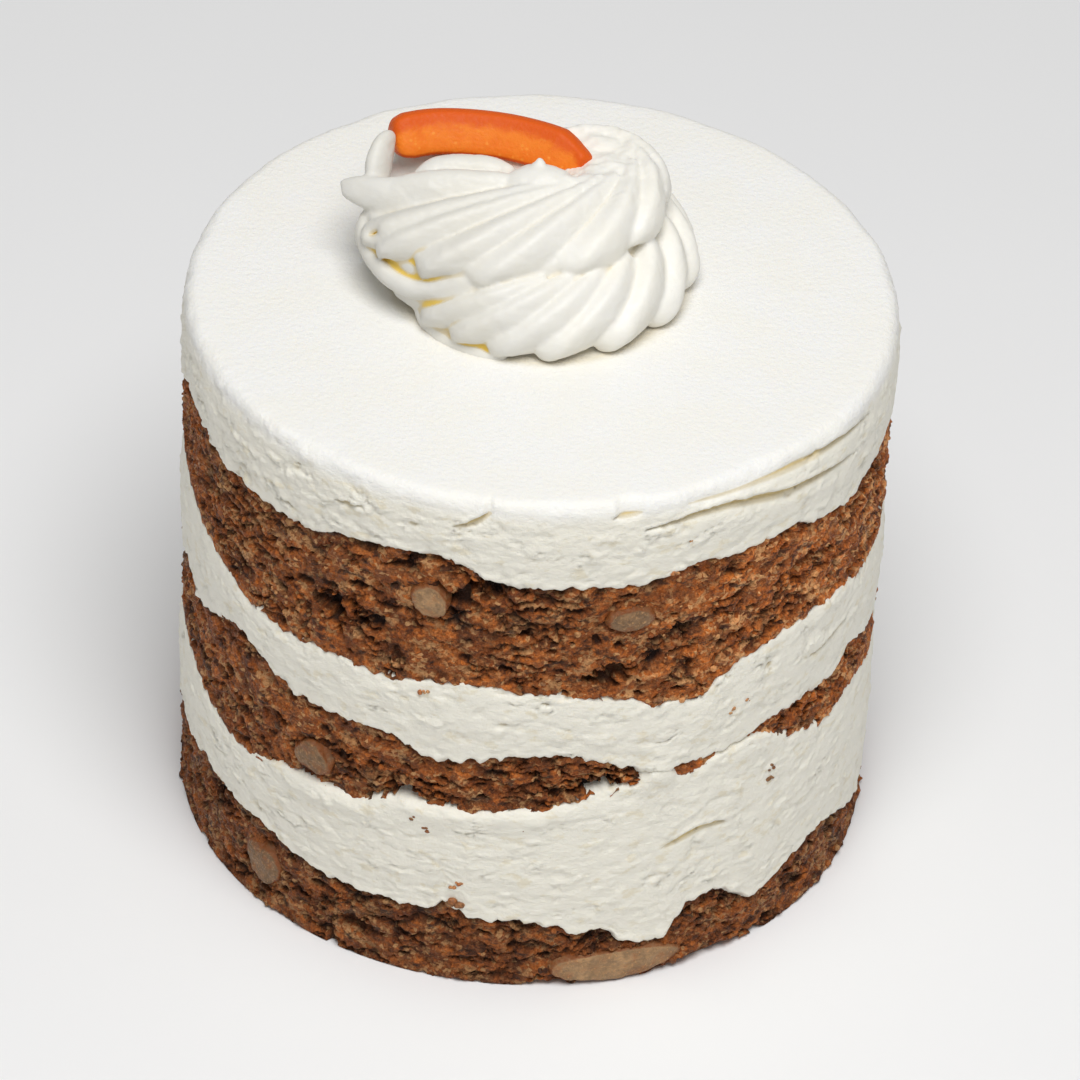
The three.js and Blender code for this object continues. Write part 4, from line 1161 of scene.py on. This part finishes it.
def smear_reach(node, line, angles, side):
    """How far a layer's edge moves out over its neighbour where cream is smeared."""
    moved = np.zeros(line.size)
    for angle, height, wide, high, _ in CREAM_SMEARS[node]:
        near = np.exp(-((arc_from(angle, angles) / wide) ** 2))
        gain = (height + 0.9 * high - line) * side
        moved = np.maximum(moved, np.where(gain > 0, near * np.minimum(gain, 2.4), 0))
    return line + side * moved


def filling_piece(node, low_edge, high_edge, material, tree):
    """One cream filling, replacing its CAD layer."""
    sizes = bpy.context.scene.cake_sizes
    seed = SEEDS[node]
    columns = columns_for(sizes.cream_step)
    around = wall_angles(columns)
    foot = smear_reach(node, edge_line(low_edge, columns, seed, 0.13), around, -1)
    head = smear_reach(node, edge_line(high_edge, columns, seed + 5, 0.1) + 0.5, around, 1)
    angles, heights = wall_grid(foot, head, sizes.cream_step, TUCK, TUCK)
    radius, cavity = cream_wall(node, angles, heights, foot, head)
    radius = radius - TUCK_SLOPE * (np.maximum(foot - heights, 0) + np.maximum(heights - head, 0))
    radius = radius - 1.4 * eased(heights - head, -0.55, 0.4)
    relief = cream_relief(heights.shape, sizes.cream_step, seed)
    relief = relief * (1 - 0.8 * eased(heights - head, -0.8, 0.0))
    relief[[0, -1]] = 0
    piece = loft_piece(node + "_spread", unrolled(angles, heights, radius),
                       on_axis(low_edge.mean() + POLE_DIP), on_axis(high_edge.mean() - POLE_DIP),
                       {"relief": relief, "cavity": cavity})
    run_nodes(piece, tree, cream_values(material, seed, sizes.cream_ripple))
    finish_piece(piece, "cream", node)


def top_piece(node, low_edge, height, material, tree):
    """The thick cream top: its wall, a round rim and a smooth flat face with a painted shadow along the
    swirl's foot.
    """
    sizes = bpy.context.scene.cake_sizes
    seed = SEEDS[node]
    columns = columns_for(sizes.cream_step)
    foot = smear_reach(node, edge_line(low_edge, columns, seed, 0.08), wall_angles(columns), -1)
    head = np.full(columns, height - RIM_ROUND)
    angles, heights = wall_grid(foot, head, sizes.cream_step, TUCK, 0.0)
    radius, cavity = cream_wall(node, angles, heights, foot, head)
    radius = radius - TUCK_SLOPE * np.maximum(foot - heights, 0)
    rings = [unrolled(angles, heights, radius)]
    wobble = ragged(columns, 14, 0.12, seed + 9)
    turns = np.linspace(0, 90, 9)[1:]
    edge = radius[-1]
    for turn in np.radians(turns):
        rings.append(unrolled(angles, height - RIM_ROUND * (1 - math.sin(turn)),
                              edge - RIM_ROUND * (1 - math.cos(turn)) + wobble * math.sin(turn)))
    inner = edge - RIM_ROUND + wobble
    shares = np.linspace(1, 0, 30)[1:-1] ** 1.15
    for share in shares:
        rings.append(unrolled(angles, height, inner * share))
    rings = np.concatenate(rings)
    relief = np.ones((rings.shape[0], columns))
    walls = heights.shape[0]
    relief[:walls] = cream_relief(heights.shape, sizes.cream_step, seed)
    aside = turn_from(TORN_SIDE["angle"], angles) / TORN_SIDE["width"]
    torn = 1 + TORN_SIDE["gain"] * np.exp(-(aside**2))
    relief[:walls] *= torn * (1 - 0.45 * eased(heights - head, -2.4, 0.0))
    relief[walls:walls + len(turns)] = torn * np.linspace(0.5, 0.12, len(turns))[:, None]
    relief[walls + len(turns):] = 0.1
    relief[0] = 0
    hole = np.zeros(relief.shape)
    hole[:walls] = cavity
    # Painted shadow: a yellowish band on the flat face along the lower tier's foot, carried by the cavity
    # mark.
    face = rings[walls + len(turns):]
    step = face[..., :2] - LOWER["eye"]
    turn = np.degrees(np.arctan2(step[..., 1], step[..., 0]))
    beside = np.hypot(step[..., 0], step[..., 1]) - lower_reach(1.0, turn)
    beside = (beside + FOOT_PAINTED_SHADOW["inside"]) / FOOT_PAINTED_SHADOW["width"]
    hole[walls + len(turns):] = FOOT_PAINTED_SHADOW["share"] * np.exp(-(beside**2))
    piece = loft_piece(node + "_spread", rings, on_axis(low_edge.mean() + POLE_DIP), on_axis(height),
                       {"relief": relief, "cavity": hole})
    run_nodes(piece, tree, cream_values(material, seed, sizes.cream_ripple))
    finish_piece(piece, "cream", node)


# ---------------------------------------------------------------- swirl
def upper_outline(direction):
    """Distance from the upper tier's eye to its outline."""
    x_step, y_step = np.cos(np.radians(direction)), np.sin(np.radians(direction))
    low, high = np.zeros(direction.shape), np.full(direction.shape, 60.0)
    for _ in range(HALVINGS):
        middle = (low + high) / 2
        x = (UPPER["eye"][0] + middle * x_step - UPPER["centre"][0]) / UPPER["radius_x"]
        y = UPPER["eye"][1] + middle * y_step - UPPER["centre"][1]
        y = y / np.where(y < 0, UPPER["radius_front"], UPPER["radius_back"])
        inside = x**2 + y**2 < 1
        low, high = np.where(inside, middle, low), np.where(inside, high, middle)
    return low


def upper_reach(share, direction):
    """Distance to the eye on a row: the outline outside, a circle near the eye."""
    inward = min(share, 1.0)
    return share * (UPPER["eye_round"] * (1 - inward) + upper_outline(direction) * inward)


def lower_reach(share, direction):
    """Distance to the lower tier's middle on a row."""
    left = np.maximum(0, np.cos(np.radians(direction - LOWER["left"]))) ** 2
    return share * (LOWER["radius"] + (LOWER["radius_left"] - LOWER["radius"]) * left)


def core_rings(tier, reach):
    """Rings of a tier's core, drawn in under the base surface."""
    direction = np.arange(0, 360, 3.0)
    out = np.stack([np.cos(np.radians(direction)), np.sin(np.radians(direction))], 1)
    rows = smooth_path(tier["rows"], ROW_STEPS)
    size = reach(1.0, direction)
    rings = []
    for (share, height, inset), slope in zip(rows, np.gradient(rows, axis=0)):
        rise = unit(np.stack([slope[0] * size, np.full(size.shape, slope[1])], 1) + 1e-9)
        plan = np.array(tier["eye"]) + (reach(share, direction) - inset * rise[:, 1])[:, None] * out
        rings.append(np.column_stack([plan, height + inset * rise[:, 0]]))
    rings = np.stack(rings)
    rings[0, :, 2] = rows[0][1]
    return rings


def tube_rings(points, half_width, tip, tier, hung, flat=RIDGE_FLAT):
    """Rings of a tube: a ridge hung under its crest line, or else loose cream round its line."""
    path, along = evenly(smooth_path(points, 16), TUBE_RINGS, TUBE_CROWD)
    share = np.linspace(0, 1, TUBE_RINGS) ** TUBE_CROWD
    full = half_width * np.interp(share, *zip(*tier["fade"])) if hung else np.full(TUBE_RINGS, half_width)
    wide = full * (1 - np.clip(1 - share / tip, 0, 0.998) ** 2) ** (TIP_POINTED if hung else 0.5)
    if not hung:
        wide = wide * np.sqrt(1 - np.clip(1 - (1 - share) / tip, 0, 0.998) ** 2)
    out = unit((path - tier["middle"]) / np.square(tier["halves"]))
    side = unit(np.cross(out, along))
    out = np.cross(along, side)
    tall = wide * flat
    middle = path - hung * (full * flat + RIDGE_SINK * share**2)[:, None] * out
    turn = np.linspace(0, 2 * np.pi, TUBE_POINTS, endpoint=False)[None, :, None]
    across = np.cos(turn) * (1 - hung * RIDGE_PEAK * np.sin(turn))
    return (middle[:, None] + wide[:, None, None] * across * side[:, None]
            + tall[:, None, None] * np.sin(turn) * out[:, None])


def crest_line(tier, reach, direction, foot, out):
    """A ridge's crest, from its foot at the outline to the ring round the eye."""
    far = math.cos(math.radians(direction - tier["far"]))
    out = out - tier["out_swing"] * far
    lead = direction + tier["lead"] - tier["lead_swing"] * far
    eye = np.array(tier["eye"])

    def around(angle, distance):
        return eye + distance * np.array([math.cos(math.radians(angle)), math.sin(math.radians(angle))])

    start = around(direction, reach(out, np.array(float(direction))))
    end = around(lead, tier["inner"])
    chord = end - start
    bend = (start + end) / 2 + (tier["bow"] - tier["bow_swing"] * far) * np.array([chord[1], -chord[0]])
    share = np.linspace(0, 1, CREST_POINTS)[:, None] ** CREST_CROWD
    plan = (1 - share) ** 2 * start + 2 * share * (1 - share) * bend + share**2 * end
    climb = (1 - (1 - share) ** tier["dome"]) ** tier["steep"]
    return np.hstack([plan, foot + (tier["crown"] - foot) * climb])


def spaced(first, last, count, half_width, foot):
    """Like ridges at even directions."""
    return [(direction, half_width, foot) for direction in np.linspace(first, last, count)]


def swirl_lofts():
    """Every closed body of the swirl: two cores, the ridges of both tiers, the loose cream."""
    upper = UPPER_RIDGES + spaced(*UPPER_BACK, BACK_WIDTH, UPPER_BACK_FOOT)
    lower = LOWER_RIDGES + spaced(*LOWER_BACK, BACK_WIDTH, LOWER_BACK_FOOT)
    shapes = []
    for tier, reach, ridges in ((UPPER, upper_reach, upper), (LOWER, lower_reach, lower)):
        shapes.append(pressed(core_rings(tier, reach)))
        for direction, half_width, foot in ridges:
            crest = crest_line(tier, reach, direction, foot, tier["out"])
            shapes.append(pressed(tube_rings(crest, half_width, RIDGE_TIP, tier, 1)))
    direction, half_width, foot = FLAP
    crest = crest_line(UPPER, upper_reach, direction, foot, FLAP_OUT)
    shapes.append(pressed(tube_rings(crest, half_width, FLAP_TIP, UPPER, 1)))
    for half_width, flat, tip, points in LOOSE_CREAM:
        shapes.append(tube_rings(points, half_width, tip, UPPER, 0, flat))
    return [(with_poles(rings, rings[0].mean(0), rings[-1].mean(0)), *rings.shape[:2]) for rings in shapes]


def pressed(rings):
    """Rings of the swirl, pressed down where the wedge lies in it."""
    x, y, z = rings.reshape(-1, 3).T
    line = smooth_path(WEDGE_SPINE[:-2], 6)[:, :2] - [0, PRESSED["ahead"]]
    away = np.min(np.hypot(x[:, None] - line[:, 0], y[:, None] - line[:, 1]), axis=1)
    dip = PRESSED["lift"] * np.exp(-((away / PRESSED["spread"]) ** 2))
    return np.stack([x, y, z + eased(z, 75, 78.5) * dip], 1).reshape(rings.shape)


def curvature(piece, rounds):
    """How far each point lies below the mean of its surroundings, in millimetres."""
    mean = neighbour_mean(piece)
    points = mesh_points(piece)
    spread = points
    for _ in range(rounds):
        spread = mean(spread)
    return np.einsum("ij,ij->i", spread - points, point_values(piece, "normal"))


def relax(piece, rounds, share):
    """Softens a piece's surface."""
    mean = neighbour_mean(piece)
    points = mesh_points(piece)
    for _ in range(rounds):
        points = points + share * (mean(points) - points)
    move_points(piece, points)


def set_attribute(piece, name, values):
    """Stores a value for each point of a piece."""
    layer = piece.data.attributes.get(name) or piece.data.attributes.new(name, "FLOAT", "POINT")
    layer.data.foreach_set("value", np.asarray(values, np.float32))


def swirl_piece(material, tree):
    """The piped swirl: every ridge and strand made one body, softened, with fine relief and painted shade in
    its creases and hollows.
    """
    sizes = bpy.context.scene.cake_sizes
    piece = joined("cream_swirl_piped", swirl_lofts())
    remesh = piece.modifiers.new("one_body", "REMESH")
    remesh.mode = "VOXEL"
    remesh.voxel_size = sizes.piping_step
    keep_result(piece)
    relax(piece, 3, 0.5)
    points = mesh_points(piece)
    direction, _, foot = UPPER_RIDGES[FOLD["ridge"]]
    fold = crest_line(UPPER, upper_reach, direction, foot, UPPER["out"])[2]
    near = np.exp(-np.sum((points - fold) ** 2, axis=1) / FOLD["radius"] ** 2)
    points -= (FOLD["depth"] * near)[:, None] * point_values(piece, "normal")
    move_points(piece, points)
    hollow = np.clip(curvature(piece, HOLLOW_ROUNDS) * MM / sizes.crease_depth, 0, 1)
    # Painted shade: creases get the crease colour; the listed hollows and the inside of the fold get the
    # yellow hollow colour.
    crease = 0.55 * hollow
    turn = np.degrees(np.arctan2(points[:, 1] - LOWER["eye"][1], points[:, 0] - LOWER["eye"][0]))
    zone = np.zeros(len(points))
    for middle, half_angle, height, half_height in PAINTED_SHADE_ZONES:
        across = turn_from(middle, turn) / half_angle
        zone = np.maximum(zone, np.exp(-(across**4) - ((points[:, 2] - height) / half_height) ** 4))
    deep = np.maximum(zone * eased(hollow, 0.05, 0.4), np.clip(1.7 * near - 0.3, 0, 1))
    eye = np.hypot(points[:, 0] - UPPER["eye"][0], points[:, 1] - UPPER["eye"][1])
    torn = EYE_TORN["gain"] * np.exp(-((eye / EYE_TORN["radius"]) ** 2)) * (points[:, 2] > EYE_TORN["above"])
    set_attribute(piece, "relief", 1 + torn)
    set_attribute(piece, "cavity", np.maximum(crease, deep))
    run_nodes(piece, tree, {
        "Clump Size": 3 * MM, "Clump Depth": 0.06 * MM, "Grain Size": 0.8 * MM, "Grain Depth": 0.01 * MM,
        "Crack Size": 6 * MM, "Crack Width": 0.02, "Crack Depth": 0.0, "Crack Share": 0.0,
        "Pit Size": 3 * MM, "Pit Depth": 0.0, "Crack Stretch": 1.0, "Ripple Size": 2.2 * MM,
        "Ripple Depth": 0.07 * MM, "Hollow Depth": 5 * MM, "Stretch": 1.4,
        "Seed": SEEDS["cream_swirl"], "Material": material,
    })
    piece.data.shade_smooth()
    finish_piece(piece, "piped_cream", "cream_swirl")


# ---------------------------------------------------------------- wedge and nuts
def wedge_section(count):
    """The section's outline, and a mark that is one on the cut face and fades to the skin."""
    points = [*WEDGE_SECTION[WEDGE_FACE:], *WEDGE_SECTION[:WEDGE_FACE + 1]]
    outline, _ = evenly(smooth_path(points, 8), count + 1)
    outline = outline[:-1][::-1]
    forward, climb = outline.T
    mark = eased(forward, -1.1, -0.1) * eased(-climb, -1.0, 0.3) * eased(climb, -1.05, -0.85)
    return outline, mark


def wedge_piece(material):
    """The curved orange wedge on the swirl, replacing its CAD solid."""
    path, along = evenly(smooth_path(WEDGE_SPINE, 12), 150)
    level = unit(np.stack([along[:, 1], -along[:, 0], np.zeros(len(along))], 1))
    lean = math.radians(WEDGE_LEAN)
    face = level * math.cos(lean) + np.array([0, 0, math.sin(lean)])
    up = unit(np.cross(face, along))
    share = np.linspace(0, 1, len(path))
    (first, first_growth), (last, last_growth) = WEDGE_ENDS
    full = np.minimum(1, np.minimum(first + first_growth * share, last + last_growth * (1 - share)))
    walked = np.linalg.norm(np.diff(path, axis=0), axis=1).sum() * np.minimum(share, 1 - share)
    full = full * (0.55 + 0.45 * np.sqrt(1 - np.clip(1 - walked / WEDGE_BEVEL, 0, 1) ** 2))
    outline, mark = wedge_section(54)
    forward = (outline[:, 0] + WEDGE_AXIS)[None, :] * full[:, None] - WEDGE_AXIS
    climb = outline[:, 1][None, :] * WEDGE_HALF_FACE * full[:, None]
    rings = path[:, None] + forward[..., None] * face[:, None] + climb[..., None] * up[:, None]
    ends = [rings[0].mean(0) - 0.1 * along[0], rings[-1].mean(0) + 0.1 * along[-1]]
    piece = loft_piece("orange_wedge_peel", rings, *ends, {"face": np.broadcast_to(mark, rings.shape[:2])})
    piece.data.materials.append(material)
    finish_piece(piece, "wedge", "orange_wedge")


def nut_piece(nut, material, tree, seed):
    """A grainy nut cut flush with the wall."""
    node, _, angle, height, wide, high, deep, pale = nut
    whole = 1 / math.sqrt(1 - NUT_CUT**2)
    rows, columns = 70, 110
    tilt, turn = ball_grid(rows, columns)
    rng = np.random.default_rng(seed)
    swell = np.ones((rows - 1, columns))
    for wave in range(2, 7):
        phase, strength = rng.uniform(0, 2 * np.pi), rng.normal(0, 0.17 / wave)
        swell += strength * np.cos(wave * turn + phase) * np.sin(tilt) * np.cos(wave * tilt * 0.5 + phase)
    local = np.stack([np.sin(tilt) * np.cos(turn) * wide * whole * swell,
                      np.sin(tilt) * np.sin(turn) * deep * swell,
                      -np.cos(tilt) * np.ones_like(turn) * high * whole * swell], -1)
    poles = np.array([[0, 0, -high * whole], [0, 0, high * whole]])
    spin = np.radians(angle)
    middle = RADIUS + NUT_PROUD - NUT_CUT * deep
    across = np.array([math.cos(spin), math.sin(spin), 0])
    outward = np.array([math.sin(spin), -math.cos(spin), 0])

    def placed(points):
        place = (points[..., :1] * across - points[..., 1:2] * outward + points[..., 2:] * [0, 0, 1]
                 + middle * outward + np.array([0, 0, height]))
        radius = np.hypot(place[..., 0], place[..., 1])
        limit = RADIUS + NUT_PROUD
        over = np.maximum(radius - limit, 0)
        place[..., :2] *= (np.minimum(radius, limit + 0.25 * np.tanh(over)) / radius)[..., None]
        place[..., 2] = np.maximum(place[..., 2], 0.12)
        return place, radius - limit

    rings, outside = placed(local)
    ends, _ = placed(poles)
    marks = {"rim": 1 - eased(outside, -0.1, 0.9), "pale": pale, "relief": 1.0, "cavity": 0.0}
    piece = loft_piece(node + "_cut", rings, ends[0], ends[1], marks)
    run_nodes(piece, tree, {
        "Clump Size": 1.5 * MM, "Clump Depth": 0.1 * MM, "Grain Size": 0.45 * MM, "Grain Depth": 0.06 * MM,
        "Crack Depth": 0.0, "Pit Depth": 0.0, "Ripple Size": 1.2 * MM, "Ripple Depth": 0.07 * MM,
        "Hollow Depth": 2 * MM, "Stretch": 1.0, "Seed": seed, "Material": material,
    })
    settle(piece)
    finish_piece(piece, "nut", node)


# ---------------------------------------------------------------- crumbs
def crumb_host(name, source):
    """A copy of a piece's mesh to strew grains on."""
    host = bpy.data.objects.new(name, source.data.copy())
    bpy.context.scene.collection.objects.link(host)
    return host


def smear_crumbs(material):
    """The crumbs that lie on the cream, each of a few lumpy grains."""
    rng = np.random.default_rng(SEEDS["crumbs_on_cream"])
    balls, tones = [], []
    rows, columns = 6, 9
    tilt, turn = ball_grid(rows, columns)
    ball = np.stack([np.sin(tilt) * np.cos(turn), np.sin(tilt) * np.sin(turn),
                     -np.cos(tilt) * np.ones_like(turn)], -1)
    shape = with_poles(ball, [0, 0, -1], [0, 0, 1])
    for angle, height, spread, count, size, tone in CREAM_CRUMBS:
        spots = rng.uniform(-spread, spread, (count, 2))
        for across, up in np.repeat(spots, 4, axis=0):
            turned = angle + math.degrees(across / RADIUS) + rng.normal(0, 0.35 * size)
            place = unrolled(turned, height + up + rng.normal(0, 0.2 * size), CRUMB_REACH)
            scale = size * rng.uniform(0.2, 0.4) * rng.uniform(0.8, 1.2, 3) * [1, 0.8, 0.8]
            lumpy = place + shape * scale * rng.uniform(0.92, 1.08, (len(shape), 1))
            balls.append((lumpy, rows - 1, columns))
            tones.append(np.full(len(shape), np.clip(tone + rng.normal(0, 0.1), 0, 1)))
    piece = joined("crumbs_on_cream", balls, {"tone": np.concatenate(tones)})
    piece.data.materials.append(material)
    finish_piece(piece, "sponge")


# ---------------------------------------------------------------- operators
def made(name):
    """A piece that an earlier operator has made."""
    found = bpy.data.objects.get(name)
    if found is None:
        raise RuntimeError(name + " isn't made yet")
    return found


def shared_tree(name, build):
    """A node tree, built the first time it is asked for."""
    return bpy.data.node_groups.get(name) or build()


def shared_material(name, build, *values):
    """A material, built the first time it is asked for."""
    return bpy.data.materials.get(name) or build(*values)


class CAKE_OT_sponges(bpy.types.Operator):
    """Makes the three sponges with their crumb relief"""

    bl_idname = "cake.sponges"
    bl_label = "Sponges"

    def execute(self, context):
        tree = shared_tree("surface_relief", relief_tree)
        material = shared_material("crumb", crumb_material)
        sponge_piece("sponge_bottom", node_edge("sponge_bottom", "low") + GAP / 2,
                     node_edge("cream_lower", "low"), material, tree, flat=True)
        sponge_piece("sponge_middle", node_edge("cream_lower", "high"), node_edge("cream_upper", "low"),
                     material, tree)
        sponge_piece("sponge_top", node_edge("cream_upper", "high"), node_edge("cream_top", "low"),
                     material, tree)
        return {"FINISHED"}


class CAKE_OT_creams(bpy.types.Operator):
    """Makes the two cream fillings and the cream top"""

    bl_idname = "cake.creams"
    bl_label = "Spread cream"

    def execute(self, context):
        tree = shared_tree("surface_relief", relief_tree)
        paint = context.scene.cake_colours
        material = shared_material("spread_cream", cream_material, "spread_cream",
                                   paint.cream, paint.cream_deep, 0.75, 0.5, 0.16)
        for node in ("cream_lower", "cream_upper"):
            filling_piece(node, node_edge(node, "low"), node_edge(node, "high"), material, tree)
        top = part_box("cream_top")[1][2] / MM
        top_piece("cream_top", node_edge("cream_top", "low"), top, material, tree)
        return {"FINISHED"}


class CAKE_OT_swirl(bpy.types.Operator):
    """Makes the piped swirl"""

    bl_idname = "cake.swirl"
    bl_label = "Piped swirl"

    def execute(self, context):
        paint = context.scene.cake_colours
        material = shared_material("piping", cream_material, "piping",
                                   paint.piped, paint.piped_deep, 0.8, 0.0, 0.03)
        swirl_piece(material, shared_tree("surface_relief", relief_tree))
        return {"FINISHED"}


class CAKE_OT_wedge(bpy.types.Operator):
    """Makes the orange wedge"""

    bl_idname = "cake.wedge"
    bl_label = "Orange wedge"

    def execute(self, context):
        wedge_piece(shared_material("wedge_fruit", wedge_material))
        return {"FINISHED"}


class CAKE_OT_nuts(bpy.types.Operator):
    """Makes the nuts cut at the wall"""

    bl_idname = "cake.nuts"
    bl_label = "Nuts"

    def execute(self, context):
        tree = shared_tree("surface_relief", relief_tree)
        material = shared_material("nut_kernel", nut_material)
        for seed, nut in enumerate(NUTS, SEEDS["first_nut"]):
            nut_piece(nut, material, tree, seed)
        return {"FINISHED"}


class CAKE_OT_crumbs(bpy.types.Operator):
    """Strews loose grains on the sponges and crumbs on the cream"""

    bl_idname = "cake.crumbs"
    bl_label = "Loose crumbs"

    def execute(self, context):
        tree = shared_tree("scattered_grains", scatter_tree)
        crumb = shared_material("crumb", crumb_material)
        for layer in ("sponge_bottom", "sponge_middle", "sponge_top"):
            name = layer + "_grains"
            host = crumb_host(name, made(layer + "_crumb"))
            run_nodes(host, tree, {
                "Density": context.scene.cake_sizes.grains_per_cm2 * 1e4, "Smallest": 0.25 * MM,
                "Largest": 0.8 * MM, "Flatness": 0.75, "Lift": 0.0, "Seed": SEEDS[name],
                "Material": crumb,
            })
            settle(host)
            finish_piece(host, "sponge")
        smear_crumbs(shared_material("loose_crumb", grain_material))
        return {"FINISHED"}


class CAKE_OT_stage(bpy.types.Operator):
    """Makes the floor, the lights and the camera"""

    bl_idname = "cake.stage"
    bl_label = "Stage"

    def execute(self, context):
        scene = context.scene
        half = FLOOR_HALF / MM
        corners = [(-half, -half, 0), (half, -half, 0), (half, half, 0), (-half, half, 0)]
        floor = new_piece("floor", corners, [(0, 1, 2, 3)])
        floor.data.materials.append(floor_material())
        world = bpy.data.worlds.new("studio")
        world.use_nodes = True
        background = world.node_tree.nodes["Background"].inputs
        background["Color"].default_value = (1, 1, 1, 1)
        background["Strength"].default_value = WORLD_STRENGTH
        scene.world = world
        lamp = bpy.data.lights.new("softbox", "AREA")
        lamp.energy = LAMP_POWER
        lamp.shape = "DISK"
        lamp.size = LAMP_WIDTH
        light = bpy.data.objects.new("softbox", lamp)
        light.location = LAMP_PLACE
        light.rotation_euler = (Vector(LAMP_AIM) - light.location).to_track_quat("-Z", "Y").to_euler()
        scene.collection.objects.link(light)
        self.add_camera(scene)
        scene.view_settings.view_transform = "Standard"
        return {"FINISHED"}

    def add_camera(self, scene):
        """The camera looks down at the cake, with a slight roll."""
        lens = bpy.data.cameras.new("camera")
        lens.lens = CAMERA_LENS
        lens.sensor_width = CAMERA_SENSOR
        lens.clip_start = 0.01
        lens.clip_end = 20
        back = Vector((0, -math.cos(CAMERA_ELEVATION), math.sin(CAMERA_ELEVATION)))
        right = Vector((1, 0, 0))
        up = back.cross(right)
        rolled_right = right * math.cos(CAMERA_ROLL) + up * math.sin(CAMERA_ROLL)
        rolled_up = up * math.cos(CAMERA_ROLL) - right * math.sin(CAMERA_ROLL)
        turn = Matrix((rolled_right, rolled_up, back)).transposed().to_4x4()
        camera = bpy.data.objects.new("camera", lens)
        camera.matrix_world = Matrix.Translation(CAMERA_AIM + back * CAMERA_DISTANCE) @ turn
        scene.collection.objects.link(camera)
        scene.camera = camera


OPERATORS = (CAKE_OT_stage, CAKE_OT_sponges, CAKE_OT_creams, CAKE_OT_swirl, CAKE_OT_wedge, CAKE_OT_nuts,
             CAKE_OT_crumbs)


class CAKE_PT_panel(bpy.types.Panel):
    """Sizes, colours and the steps that make the cake"""

    bl_label = "Carrot cake"
    bl_idname = "CAKE_PT_panel"
    bl_space_type = "VIEW_3D"
    bl_region_type = "UI"
    bl_category = "Cake"

    def draw(self, context):
        layout = self.layout
        for group in (context.scene.cake_sizes, context.scene.cake_colours):
            box = layout.box()
            for name in group.__annotations__:
                box.prop(group, name)
        for operator in OPERATORS:
            layout.operator(operator.bl_idname)


CLASSES = (CakeSizes, CakeColours, *OPERATORS, CAKE_PT_panel)


def register():
    """Registers the classes and their properties."""
    for kind in CLASSES:
        bpy.utils.register_class(kind)
    bpy.types.Scene.cake_sizes = PointerProperty(type=CakeSizes)
    bpy.types.Scene.cake_colours = PointerProperty(type=CakeColours)


def unregister():
    """Removes the properties and the classes."""
    del bpy.types.Scene.cake_colours
    del bpy.types.Scene.cake_sizes
    for kind in reversed(CLASSES):
        bpy.utils.unregister_class(kind)


def main():
    """Makes the whole cake."""
    register()
    bpy.ops.cake.stage()
    bpy.ops.cake.sponges()
    bpy.ops.cake.creams()
    bpy.ops.cake.swirl()
    bpy.ops.cake.wedge()
    bpy.ops.cake.nuts()
    bpy.ops.cake.crumbs()


if __name__ == "__main__":
    main()
